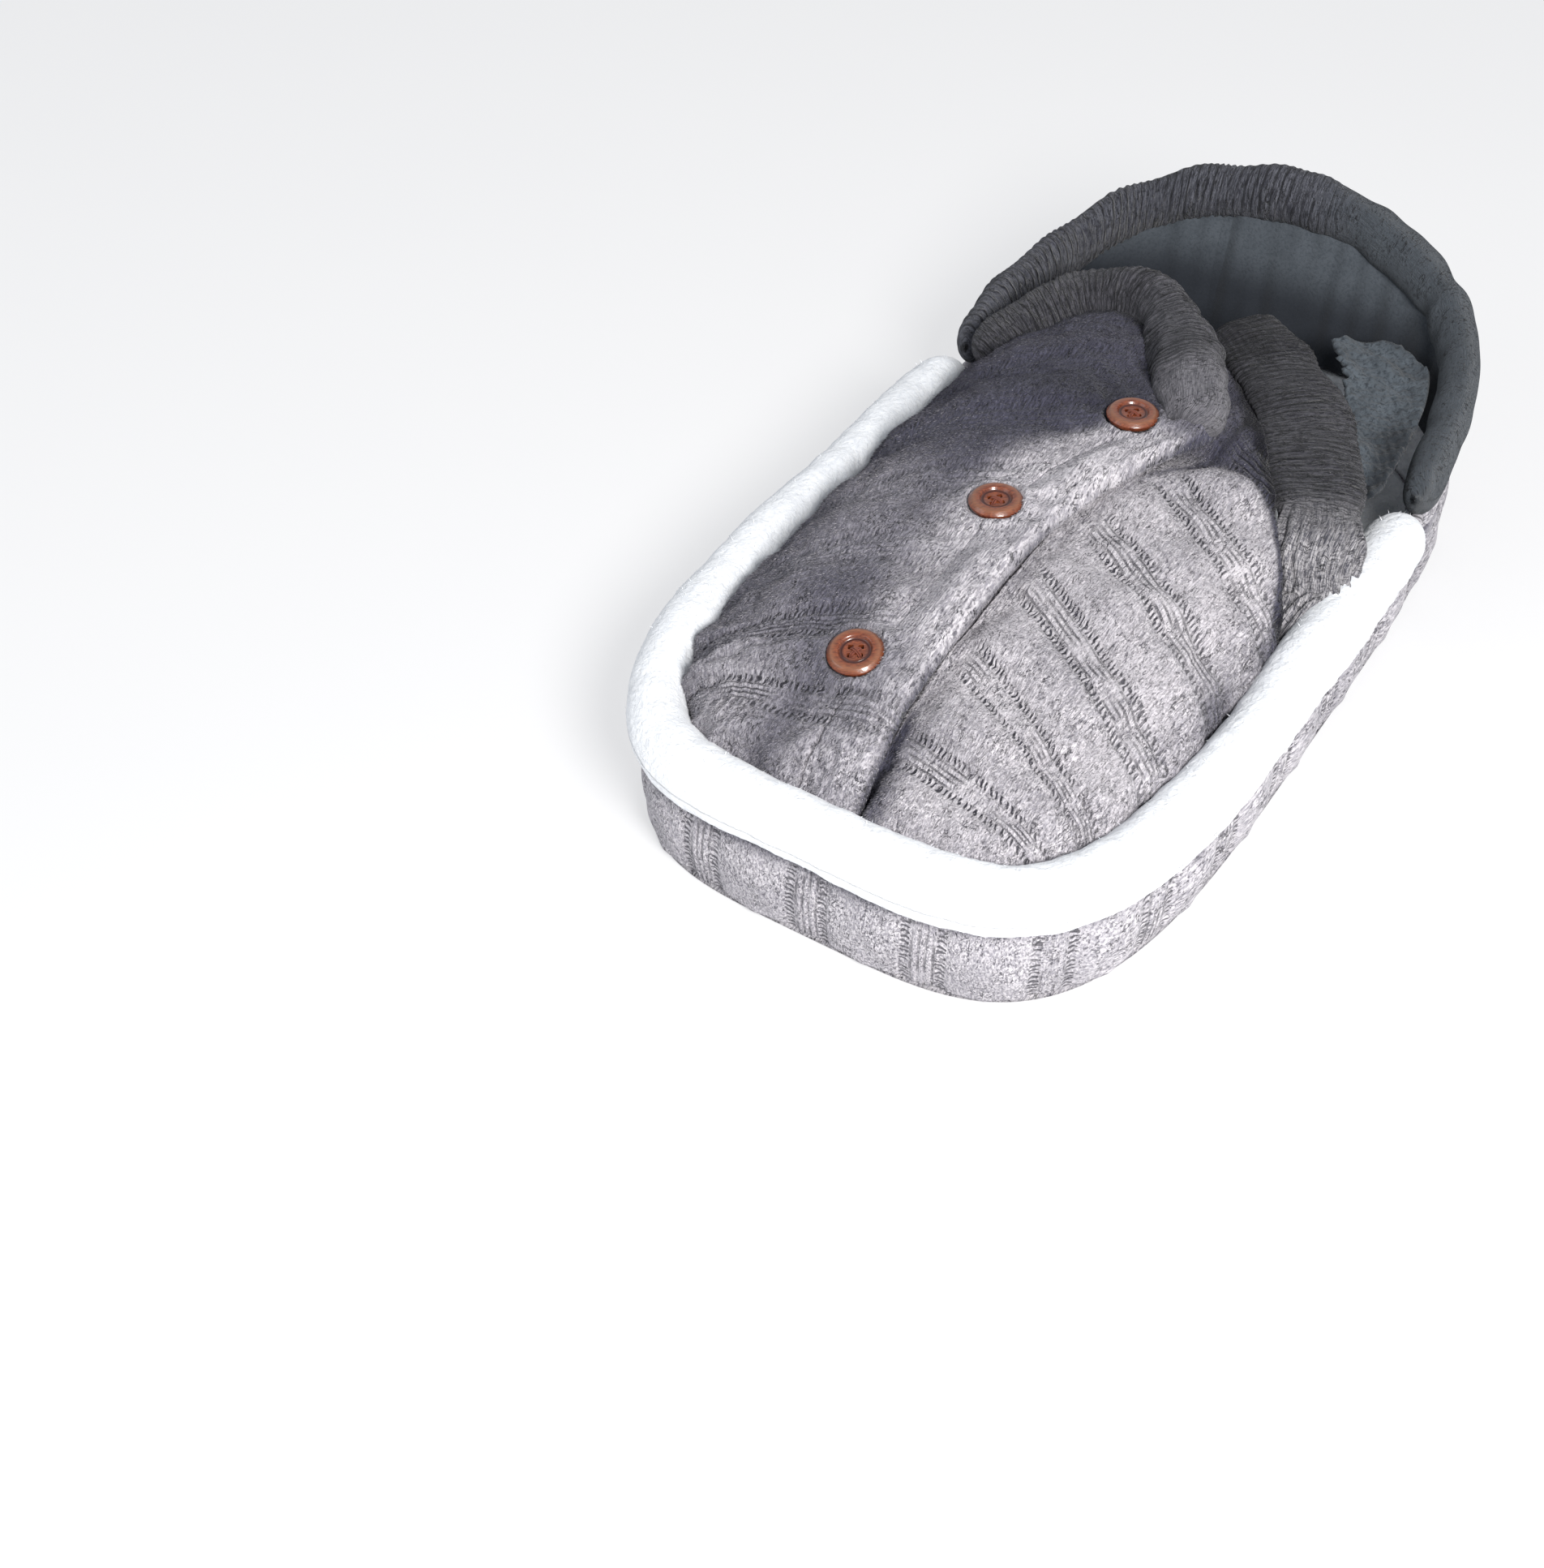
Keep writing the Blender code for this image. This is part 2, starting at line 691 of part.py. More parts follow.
def solid_mesh(name, thing):
    """The finished mesh of an object whose modifiers are done, with its loose caps welded."""
    bpy.context.view_layer.update()
    ready = thing.evaluated_get(bpy.context.evaluated_depsgraph_get())
    mesh = bpy.data.meshes.new_from_object(ready)
    mesh.name = name
    built = bmesh.new()
    built.from_mesh(mesh)
    bmesh.ops.remove_doubles(built, verts=built.verts, dist=WELD)
    built.to_mesh(mesh)
    built.free()
    mesh.shade_smooth()
    mesh.set_sharp_from_angle(angle=SHARP_ANGLE)
    bpy.data.objects.remove(thing)
    return mesh


def turned_mesh(name, profile, sides, cutter=None):
    """A round solid from a profile that runs down its outer side, less the cutter."""
    line = bpy.data.meshes.new(name)
    points = [(radius, 0, height) for radius, height in profile]
    line.from_pydata(points, [(step, step + 1) for step in range(len(points) - 1)], [])
    thing = bpy.data.objects.new(name, line)
    bpy.context.scene.collection.objects.link(thing)
    screw = thing.modifiers.new("turn", "SCREW")
    screw.steps = sides
    screw.render_steps = sides
    screw.use_merge_vertices = True
    screw.merge_threshold = WELD
    if cutter is not None:
        cut = thing.modifiers.new("holes", "BOOLEAN")
        cut.operation = "DIFFERENCE"
        cut.object = cutter
    return solid_mesh(name, thing)


def hole_places():
    half = BUTTON_HOLE_SPACING / 2
    return [(x, y) for x in (-half, half) for y in (-half, half)]


def button_mesh(cutters):
    """A round button with a raised edge, a sunk middle and four holes, standing on its underside."""
    radius = BUTTON_DIAMETER / 2
    sunk = BUTTON_THICKNESS - BUTTON_RECESS
    profile = (
        (0, sunk),
        (radius * BUTTON_DISH_SHARE, sunk),
        (radius * BUTTON_CREST_SHARE, BUTTON_THICKNESS),
        (radius * BUTTON_BEVEL_SHARE, BUTTON_THICKNESS),
        (radius, BUTTON_THICKNESS * BUTTON_EDGE_SHARE),
        (radius * BUTTON_FOOT_SHARE, 0),
        (0, 0),
    )
    drills = bmesh.new()
    for x, y in hole_places():
        bmesh.ops.create_cone(
            drills,
            cap_ends=True,
            segments=HOLE_SIDES,
            radius1=BUTTON_HOLE_DIAMETER / 2,
            radius2=BUTTON_HOLE_DIAMETER / 2,
            depth=BUTTON_DIAMETER,
            matrix=Matrix.Translation((x, y, 0)),
        )
    mesh = bpy.data.meshes.new("button_holes")
    drills.to_mesh(mesh)
    drills.free()
    cutter = bpy.data.objects.new("button_holes", mesh)
    cutter.hide_render = True
    cutter.display_type = "WIRE"
    cutters.objects.link(cutter)
    return turned_mesh("button", profile, BUTTON_SIDES, cutter)


def thread_mesh():
    """The thread of a button: up one hole and down the next, under the button, and so again."""
    half = BUTTON_HOLE_SPACING / 2
    top = BUTTON_THICKNESS - BUTTON_RECESS + THREAD_RADIUS + THREAD_CLEARANCE
    low = THREAD_RADIUS - THREAD_DROP
    points = (
        (-half, -half, low),
        (-half, -half, top),
        (-half, half, top),
        (-half, half, low),
        (half, half, low),
        (half, half, top),
        (half, -half, top),
        (half, -half, low),
    )
    curve = bpy.data.curves.new("button_thread", "CURVE")
    curve.dimensions = "3D"
    curve.bevel_depth = THREAD_RADIUS
    curve.bevel_resolution = 1
    curve.use_fill_caps = True
    spline = curve.splines.new("POLY")
    spline.points.add(len(points[1:]))
    for point, place in zip(spline.points, points):
        point.co = (*place, 1)
    thing = bpy.data.objects.new("button_thread", curve)
    bpy.context.scene.collection.objects.link(thing)
    return solid_mesh("button_thread", thing)


def stud_ring_mesh():
    """The socket half of a press stud, its seat face up."""
    outer = STUD_DIAMETER / 2
    bore = STUD_BORE / 2
    low = -STUD_RING_HEIGHT
    profile = ((bore, 0), (outer, 0), (outer, low), (bore, low), (bore, 0))
    return turned_mesh("stud_socket", profile, STUD_SIDES)


def stud_ball_mesh():
    """The ball half of a press stud, its seat face down."""
    outer = STUD_DIAMETER / 2
    post = STUD_POST_DIAMETER / 2
    top = STUD_PLATE_HEIGHT + STUD_POST_HEIGHT
    profile = ((0, top), (post, top), (post, STUD_PLATE_HEIGHT), (outer, STUD_PLATE_HEIGHT), (outer, 0), (0, 0))
    return turned_mesh("stud_ball", profile, STUD_SIDES)


def clear_reach(pieces, centre, axis, radius):
    """How far along an axis a disc of this radius, coming back from its far end, meets one of the pieces."""
    bpy.context.view_layer.update()
    graph = bpy.context.evaluated_depsgraph_get()
    sideways = axis.orthogonal().normalized()
    spots = [Vector((0, 0, 0))]
    for step in range(STUD_SIDES):
        spoke = Matrix.Rotation(2 * math.pi * step / STUD_SIDES, 3, axis) @ sideways
        spots += [spoke * radius, spoke * (radius / 2)]
    far = CROWN_HEIGHT
    reached = []
    for piece in pieces:
        tree = BVHTree.FromObject(piece, graph)
        to_local = piece.matrix_world.inverted()
        for spot in spots:
            start = to_local @ (centre + spot + axis * far)
            hit = tree.ray_cast(start, to_local.to_3x3() @ -axis)
            if hit[3] is not None:
                reached.append(far - hit[3])
    return max(reached)


def add_fastenings(left_fold, right_fold, materials, collection, cutters):
    """Three buttons on the left flap, and under each of them a press stud between the flaps."""
    button = button_mesh(cutters)
    thread = thread_mesh()
    socket = stud_ring_mesh()
    ball = stud_ball_mesh()
    made = collection.objects
    tops = [made["left_front_knit"], made["left_placket_band"]]
    for word, (x, y) in BUTTON_PLACES.items():
        square = normal_at(LEFT, x, y, False)
        face = Vector((x, y, front_height(LEFT, x, y)))
        rim_seat = clear_reach(tops, face, square, BUTTON_DIAMETER / 2)
        thread_seat = clear_reach(tops, face, square, BUTTON_HOLE_SPACING) + THREAD_DROP
        seat = face + square * (max(rim_seat, thread_seat) + BUTTON_SEAT_GAP)
        empty = add_empty(word + "_button_pivot", seat, collection, square, left_fold)
        place_copy(word + "_button", button, materials["wood"], empty, collection)
        place_copy(word + "_button_thread", thread, materials["thread"], empty, collection)
        inner = face - square * FRONT_THICKNESS
        under = clear_reach([made["left_front_plush_lining"]], inner, -square, STUD_DIAMETER / 2)
        place = inner - square * (under + STUD_SEAT_GAP)
        place_stud(word + "_stud_socket", socket, place, square, left_fold, materials, collection)
        over = clear_reach([made["right_placket_band"]], inner, square, STUD_DIAMETER / 2)
        place = inner + square * (over + STUD_SEAT_GAP)
        place_stud(word + "_stud_ball", ball, place, square, right_fold, materials, collection)


def place_copy(name, mesh, material, empty, collection):
    """One copy of a repeated piece, on the empty that holds its place."""
    thing = bpy.data.objects.new(name, mesh.copy())
    thing.data.name = name
    own = material.copy()
    own.name = name + "_material"
    thing.data.materials.clear()
    thing.data.materials.append(own)
    thing.parent = empty
    collection.objects.link(thing)


def place_stud(name, mesh, place, square, fold, materials, collection):
    empty = add_empty(name + "_place", place, collection, square, fold)
    place_copy(name, mesh, materials["stud"], empty, collection)


def main():
    for thing in list(bpy.data.objects):
        bpy.data.objects.remove(thing)
    collection = make_collection("stroller_sleeping_bag")
    cutters = make_collection("cutters")
    materials = {
        "knit": make_material("knit", (0.30, 0.29, 0.33), 0.95),
        "band": make_material("band", (0.34, 0.33, 0.37), 0.95),
        "rib": make_material("rib", (0.27, 0.26, 0.30), 0.95),
        "plush": make_material("plush", (0.84, 0.85, 0.88), 0.95),
        "fleece": make_material("fleece", (0.36, 0.40, 0.45), 0.95),
        "wadding": make_material("wadding", (0.90, 0.90, 0.90), 1.0),
        "wood": make_material("wood", (0.42, 0.15, 0.07), 0.35),
        "thread": make_material("thread", (0.20, 0.08, 0.05), 0.8),
        "stud": make_material("stud", (0.55, 0.55, 0.57), 0.35, 1),
    }
    left_fold = add_empty("left_fold", Vector((-RING_HALF_WIDTH, 0, FOLD_Z)), collection)
    right_fold = add_empty("right_fold", Vector((RING_HALF_WIDTH, 0, FOLD_Z)), collection)
    hood_fold = add_empty("hood_fold", Vector((0, HEAD_Y, WALL_HEIGHT)), collection)
    add_base(materials, collection)
    add_side_wall(materials, collection)
    add_rim(materials, collection)
    add_front(LEFT, "left", left_placket_point, left_fold, materials, collection)
    add_front(RIGHT, "right", right_placket_point, right_fold, materials, collection)
    add_left_collar(left_fold, materials, collection)
    add_right_collar(right_fold, materials, collection)
    add_hood(hood_fold, materials, collection)
    add_lapel(hood_fold, materials, collection)
    add_fastenings(left_fold, right_fold, materials, collection, cutters)


main()
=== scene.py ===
"""How the stroller sleeping bag looks: cable knit, plush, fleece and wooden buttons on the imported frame."""

import json
import math

import bpy
import numpy as np
from mathutils import Matrix, Vector

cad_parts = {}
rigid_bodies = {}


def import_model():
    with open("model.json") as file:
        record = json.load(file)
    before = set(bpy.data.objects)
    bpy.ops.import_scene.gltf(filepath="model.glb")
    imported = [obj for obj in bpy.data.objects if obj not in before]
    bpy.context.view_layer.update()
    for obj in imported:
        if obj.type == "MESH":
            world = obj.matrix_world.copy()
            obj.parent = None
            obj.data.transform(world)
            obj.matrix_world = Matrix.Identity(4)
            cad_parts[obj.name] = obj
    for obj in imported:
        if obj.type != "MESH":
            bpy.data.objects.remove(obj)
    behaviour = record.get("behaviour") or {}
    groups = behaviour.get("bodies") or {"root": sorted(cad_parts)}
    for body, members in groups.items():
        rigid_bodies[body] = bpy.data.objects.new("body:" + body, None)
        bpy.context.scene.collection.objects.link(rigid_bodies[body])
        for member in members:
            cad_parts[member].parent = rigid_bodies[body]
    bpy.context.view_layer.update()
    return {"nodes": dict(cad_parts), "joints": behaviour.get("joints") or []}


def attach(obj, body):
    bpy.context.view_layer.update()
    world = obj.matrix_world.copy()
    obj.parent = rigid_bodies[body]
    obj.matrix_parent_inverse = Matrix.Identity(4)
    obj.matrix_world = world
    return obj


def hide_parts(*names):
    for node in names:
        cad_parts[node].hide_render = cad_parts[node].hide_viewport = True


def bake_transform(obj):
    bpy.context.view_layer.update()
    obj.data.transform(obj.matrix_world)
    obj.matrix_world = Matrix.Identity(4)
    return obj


for thing in list(bpy.data.objects):
    bpy.data.objects.remove(thing)
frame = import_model()

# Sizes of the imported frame, in metres, and its powers and shares
BAG_LENGTH = 0.780
BAG_WIDTH = 0.440
CORNER_POWER = 4
KNIT = 0.0025
WALL_THICKNESS = 0.0145
WALL_HEIGHT = 0.066
WALL_BULGE = 0.005
RIM_THICKNESS = 0.046
RIM_HEAD_Y = 0.160
RIM_END_LENGTH = 0.030
BASE_WADDING = 0.012
FRONT_HALF_WIDTH = 0.1732
FRONT_HALF_LENGTH = 0.3422
FRONT_THICKNESS = 0.0125
FRONT_CORNER_POWER = 4.15
FRONT_EDGE_HEIGHT = 0.0885
CROWN_HEIGHT = 0.168
CROWN_POWER = 2.6
FAN_Y = -0.220
FAN_START_SHARE = 0.6
NECK_RISE_SHARE = 0.45
FOOT_STEP_RUN = 0.014
FLAP_STEP = 0.018
PLACKET_WIDTH = 0.038
PLACKET_EDGE_X = 0.011
PLACKET_NECK_SWING = 0.052
PLACKET_SWING_Y = -0.130
PLACKET_SEAM_GAP = 0.0009
PLACKET_OVERLAP = 0.0022
LEFT_NECK_EDGE_Y = 0.085
UNDERLAP_WIDTH = 0.055
UNDERLAP_EDGE_X = 0.007
UNDERLAP_NECK_Y = 0.140
UNDERLAP_FOOT_SHARE = 0.97
UNDERLAP_DIP = 0.004
UNDERLAP_DIP_START = 0.014
UNDERLAP_DIP_RUN = 0.048
ROLL_RADIUS = 0.021
ROLL_TUCK = 0.0013
ROLL_LIFT = 0.006
ROLL_START_SHARE = 0.24
BAND_HALF_WIDTH = 0.029
BAND_HALF_THICKNESS = 0.0105
BAND_START_SHARE = 0.30
BAND_STOP_SHARE = 0.93
HOOD_HEIGHT = 0.229
HOOD_TIP_HEIGHT = 0.130
HOOD_ARCH_POWER = 1.2
HOOD_BAND_HEIGHT = 0.048
HOOD_BAND_WIDTH = 0.032
HOOD_LEAN = 0.007
HOOD_TIP_SHARE = 0.007
LAPEL_FOOT_Y = 0.145
LAPEL_HEAD_Y = 0.305
LAPEL_REACH = 0.080
LAPEL_FOOT_REACH = 0.012
LAPEL_EDGE_HEIGHT = 0.128
LAPEL_SAG = 0.012
BUTTON_DIAMETER = 0.040
BUTTON_THICKNESS = 0.0065
DIMPLE_DEPTH = 0.0045
DIMPLE_REACH = 0.027
DIMPLE_POWER = 4
BUTTON_PLACES = ((-0.040, -0.255), (-0.031, -0.0833), (0.003, 0.063))

RING_HALF_WIDTH = (BAG_WIDTH - RIM_THICKNESS) / 2
RING_HALF_LENGTH = (BAG_LENGTH - RIM_THICKNESS) / 2
RIM_CENTRE_Z = WALL_HEIGHT + RIM_THICKNESS / 2

LEFT = {
    "side": -1,
    "crown": CROWN_HEIGHT,
    "foot_step": 0,
    "neck_side_y": 0.108,
    "neck_edge_y": LEFT_NECK_EDGE_Y,
    "neck_rise": 0.108,
    "dimples": BUTTON_PLACES,
    "dip": 0,
}
RIGHT = {
    "side": 1,
    "crown": CROWN_HEIGHT - FLAP_STEP,
    "foot_step": FLAP_STEP,
    "neck_side_y": -0.035,
    "neck_edge_y": 0.230,
    "neck_rise": 0.022,
    "dimples": (),
    "dip": UNDERLAP_DIP,
}

# Cloth of the scene: sizes in metres, counts and shares
CLOTH_STEP = 0.0015
HOOD_STEP = 1.05 * CLOTH_STEP
WALL_STEP = 1.18 * CLOTH_STEP
RIM_STEP = 1.3 * CLOTH_STEP
COARSE_STEP = 0.004
HOOD_LINING_STEP = 0.0025
LAPEL_STEP = 0.0018
FRONT_CLOTH = (0.56, 0.19)
PLACKET_CLOTH = (0.50, 0.042)
UNDERLAP_CLOTH = (0.50, 0.06)
HOOD_CLOTH = (0.95, 0.12)
LAPEL_CLOTH = (0.20, 0.09)
BAG_GIRTH = 2.2
QUILT = 0.0085
LINING = 0.003
SIDE_WALL_CLOTH = 0.0030
SIDE_WALL_FOOT = 0.003
LAPEL_THICKNESS = 0.0050
HOOD_QUILT_EXTRA = 0.008
PAD_GAP = 0.0005
EDGE_CLOSE = 0.0212
PRESSED_SHARE = 0.82
FUZZ_COUNT = 60000
FUZZ_SIZE = (0.0034, 0.00045)
FUZZ_LEAN = (0, -2.0, 0)
FUZZ_LIGHTER = 0.22
FILL_STEP = 0.0052
FILL_FRAMES = 20
FILL_CAP = 0.006
FILL_SETTINGS = {
    "quality": 5,
    "mass": 0.15,
    "tension_stiffness": 8,
    "compression_stiffness": 8,
    "shear_stiffness": 4,
    "bending_stiffness": 0.08,
    "shrink_min": -0.04,
    "use_pressure": True,
    "uniform_pressure_force": 4,
    "vertex_group_mass": "sewn",
}
FOOT_LOBES = ((-0.104, -0.318), (-0.018, -0.335))
# Painted light and shade on the foot lobes: how much lighter the knit is per metre of their height, and
# darker in the hollow between them.
LOBE_SHADING = 35
STRIPE_FIRST = 0.062
STRIPE_PITCH = 0.088
STRIPE_SLOPE = 0.64
STRIPE_FAN_LOW = -0.37
STRIPE_FAN_RUN = 0.22
WALL_STRIPES = 24
CORD_PITCH = 0.0047
CORD_REACH = 0.0072
CORD_HEIGHT = 0.0012
LADDER_REACH = 0.0125
LADDER_WIDTH = 0.0030
LADDER_PITCH = 0.0042
LADDER_DEPTH = 0.0013
PUFF_START = 0.0165
PUFF_HEIGHT = 0.0032
COMB_PITCH = 0.0064
COMB_HEIGHT = 0.0005
BRAID_PITCH = 0.046
BRAID_REACH = 0.022
SIDE_BRAID = 0.0014
SIDE_STRENGTH = 0.8
RIB_PITCH = 0.0056
BAND_RIB_PITCH = 0.0064
HOOD_RIB_PITCH = 0.0075
QUILT_PITCH = 0.11
NECK_STEPS = 120
ROLL_SIDES = 96
BAND_SIDES = 110
RIM_SIDES = 84
STRIPE_TRIES = 14

# Buttons, in metres
BUTTONS = ("lower", "middle", "upper")
BUTTON_DISH = 0.0024
BUTTON_SIDES = 72
HOLE_SIDES = 16
HOLE_HALF = 0.0035
HOLE_RADIUS = 0.0019
THREAD_RADIUS = 0.00055
THREAD_DIP = 0.0030
STRAND_SHIFT = 0.0005

# Floor and camera, in metres, degrees and pixels of the photograph
FLOOR_HALF = 8.0
FLOOR_Z = -0.0005
CAMERA_PLACE = (0.506, -1.192, 1.057)
CAMERA_TILT = 43.6
CAMERA_TURN = 33.2
FOCAL_LENGTH = 2625
PHOTO_HEIGHT = 1933
SENSOR_WIDTH = 36


# Numbers


def smooth(share):
    """A soft step, from 0 at 0 to 1 at 1."""
    held = np.clip(share, 0, 1)
    return held * held * (3 - 2 * held)


def mixed(first, last, share):
    return first + (last - first) * share


def wave(share):
    """1 at each whole number, and -1 halfway between two of them."""
    return np.cos(math.tau * share)


def arch(share):
    """0 at 0 and at 1, and 1 halfway."""
    return np.sin(math.pi * share)


def bell(distance, reach):
    """1 at no distance, and next to nothing at twice this reach."""
    return np.exp(-((distance / reach) ** 2))


def spots(x, y, *places):
    """A sum of soft spots: the height, the middle's x and y, and the reach across and along of each."""
    total = 0
    for height, middle_x, middle_y, wide, long in places:
        total = total + height * bell(x - middle_x, wide) * bell(y - middle_y, long)
    return total


def stack(*parts):
    return np.stack(np.broadcast_arrays(*parts), axis=-1).astype(float)


def plan(points):
    """The x and the y of each point."""
    return points[..., 0], points[..., 1]


def unit(vectors):
    return vectors / np.maximum(np.linalg.norm(vectors, axis=-1, keepdims=True), 1e-12)


def lattice(long, wide, step):
    """Shares along and across for each point of a grid over a cloth of this length and width."""
    along = np.linspace(0, 1, int(long / step) + 1)
    across = np.linspace(0, 1, int(wide / step) + 1)
    return np.meshgrid(along, across, indexing="ij")


def ripple(points, size, seed, waves=12):
    """A smooth uneven field, mostly from -1 to 1, whose swells are about this far apart.

    The points are one array, or a tuple with an array for each coordinate.
    """
    if isinstance(points, tuple):
        points = stack(*points)
    dice = np.random.default_rng(seed)
    total = np.zeros(points.shape[:-1])
    for _ in range(waves):
        way = dice.normal(size=points.shape[-1])
        way *= math.tau / size * dice.uniform(0.7, 1.4) / np.linalg.norm(way)
        total += np.sin(points @ way + dice.uniform(0, math.tau))
    return total / math.sqrt(waves)


# Surfaces of the frame, as in its source


def outline_point(angle, half_width, half_length, power=CORNER_POWER):
    across = np.cos(angle)
    along = np.sin(angle)
    reach = (np.abs(across) ** power + np.abs(along) ** power) ** (-1 / power)
    return half_width * across * reach, half_length * along * reach


def outline_angle(y, half_length, power=CORNER_POWER):
    share = y / half_length
    return np.arctan(share / (1 - np.abs(share) ** power) ** (1 / power))


def ring_point(angle, outwards=0, z=0):
    x, y = outline_point(angle, RING_HALF_WIDTH, RING_HALF_LENGTH)
    power = CORNER_POWER - 1
    slope_x = np.sign(x) * np.abs(x / RING_HALF_WIDTH) ** power / RING_HALF_WIDTH
    slope_y = np.sign(y) * np.abs(y / RING_HALF_LENGTH) ** power / RING_HALF_LENGTH
    size = np.hypot(slope_x, slope_y)
    return stack(x + slope_x / size * outwards, y + slope_y / size * outwards, z)


def foot_length(flap, x):
    covered = smooth((PLACKET_EDGE_X + FOOT_STEP_RUN - x) / FOOT_STEP_RUN)
    return FRONT_HALF_LENGTH - flap["foot_step"] * covered


def placket_edge(y):
    swing = np.clip((y - PLACKET_SWING_Y) / (LEFT_NECK_EDGE_Y - PLACKET_SWING_Y), 0, 1)
    return PLACKET_EDGE_X + PLACKET_NECK_SWING * swing * swing


def panel_edge(flap, y):
    if flap is LEFT:
        return placket_edge(y) - PLACKET_WIDTH - PLACKET_SEAM_GAP
    return UNDERLAP_EDGE_X + PLACKET_SEAM_GAP + 0 * y


def front_height(flap, x, y, dimpled=True):
    power = FRONT_CORNER_POWER
    across = np.abs(x) / FRONT_HALF_WIDTH
    along = np.maximum(-y, 0) / foot_length(flap, x)
    reach = np.minimum((across**power + along**power) ** (1 / power), 1)
    height = mixed(FRONT_EDGE_HEIGHT, flap["crown"], np.sqrt(1 - reach**CROWN_POWER))
    for button_x, button_y in flap["dimples"] if dimpled else ():
        distance = np.hypot(x - button_x, y - button_y) / DIMPLE_REACH
        height = height - DIMPLE_DEPTH * np.exp(-(distance**DIMPLE_POWER))
    under = (placket_edge(y) + UNDERLAP_DIP_START - x) / UNDERLAP_DIP_RUN
    return height - flap["dip"] * smooth(under)


def front_point(flap, along, across):
    power = FRONT_CORNER_POWER
    neck_angle = outline_angle(flap["neck_side_y"], FRONT_HALF_LENGTH, power)
    angle = mixed(neck_angle, -math.pi / 2, along)
    border_x, border_y = outline_point(angle, FRONT_HALF_WIDTH, FRONT_HALF_LENGTH, power)
    border_x = border_x * flap["side"]
    middle_y = mixed(flap["neck_edge_y"], FAN_Y, along)
    rise = 1 - np.cos(math.pi / 2 * across)
    x = border_x * (1 - rise)
    y = mixed(border_y, middle_y, rise)
    neck = np.maximum(1 - along / NECK_RISE_SHARE, 0)
    y = y + flap["neck_rise"] * neck * neck * np.sin(math.pi * rise)
    fan = smooth((along - FAN_START_SHARE) / (1 - FAN_START_SHARE))
    x = x + panel_edge(flap, y) * (1 - (1 - across * across) * (1 - fan))
    y = np.where(y < 0, y * foot_length(flap, x) / FRONT_HALF_LENGTH, y)
    return stack(x, y, front_height(flap, x, y))


def front_normal(flap, x, y, dimpled=True):
    step = KNIT
    rise_x = front_height(flap, x + step, y, dimpled) - front_height(flap, x - step, y, dimpled)
    rise_y = front_height(flap, x, y + step, dimpled) - front_height(flap, x, y - step, dimpled)
    return unit(stack(-rise_x, -rise_y, 2 * step))


def hood_angle(along):
    tip = outline_angle(RIM_HEAD_Y + RIM_END_LENGTH / 2, RING_HALF_LENGTH)
    return mixed(tip, math.pi - tip, along)


def hood_top(along):
    return mixed(HOOD_TIP_HEIGHT, HOOD_HEIGHT, np.sin(math.pi * along) ** HOOD_ARCH_POWER)


# Meshes from grids of points


def normals_of(points, around=False):
    along = np.gradient(points, axis=0)
    if around:
        across = np.roll(points, -1, axis=1) - np.roll(points, 1, axis=1)
    else:
        across = np.gradient(points, axis=1)
    return unit(np.cross(along, across))


def travel(points, axis):
    """Distance walked along each line of a grid, from its first point."""
    steps = np.linalg.norm(np.diff(points, axis=axis), axis=-1)
    start = np.zeros_like(np.take(steps, [0], axis=axis))
    return np.concatenate((start, np.cumsum(steps, axis=axis)), axis=axis)


def rounding(points, edges, around=False):
    """How full a pad is at each point, 0 at its border. Edges are the radii at its four sides."""
    along = travel(points, 0)
    gaps = [(along, edges[0]), (along[-1:] - along, edges[1])]
    if not around:
        across = travel(points, 1)
        gaps += [(across, edges[2]), (across[:, -1:] - across, edges[3])]
    full = np.ones(points.shape[:2])
    for gap, radius in gaps:
        if radius > 0:
            full = np.minimum(full, np.sqrt(1 - (1 - np.clip(gap / radius, 0, 1)) ** 2))
        else:
            full = np.where(gap <= 0, 0, full)
    return full


def grid_faces(numbers, around=False):
    if around:
        numbers = np.concatenate((numbers, numbers[:, :1]), axis=1)
    corners = (numbers[:-1, :-1], numbers[1:, :-1], numbers[1:, 1:], numbers[:-1, 1:])
    return np.stack(corners, axis=-1).reshape(-1, 4)


def add_object(name, data):
    thing = bpy.data.objects.new(name, data)
    bpy.context.scene.collection.objects.link(thing)
    return thing


def set_fields(mesh, fields):
    """Puts a number or a vector on each point of a mesh, for its material to read."""
    for field, values in fields.items():
        kind, key = ("FLOAT_VECTOR", "vector") if values.ndim == 2 else ("FLOAT", "value")
        made = mesh.attributes.new(field, kind, "POINT")
        made.data.foreach_set(key, values.astype(np.float32).ravel())


def numbered(grid, first=0):
    """The number of each point of a grid, counted from the first one."""
    rows, columns = grid.shape[:2]
    return first + np.arange(rows * columns).reshape(rows, columns)


def make_object(name, points, faces, material, fields=None):
    mesh = bpy.data.meshes.new(name)
    mesh.from_pydata(points.tolist(), [], [list(face) for face in faces])
    mesh.shade_smooth()
    set_fields(mesh, fields or {})
    mesh.materials.append(material)
    return add_object(name, mesh)


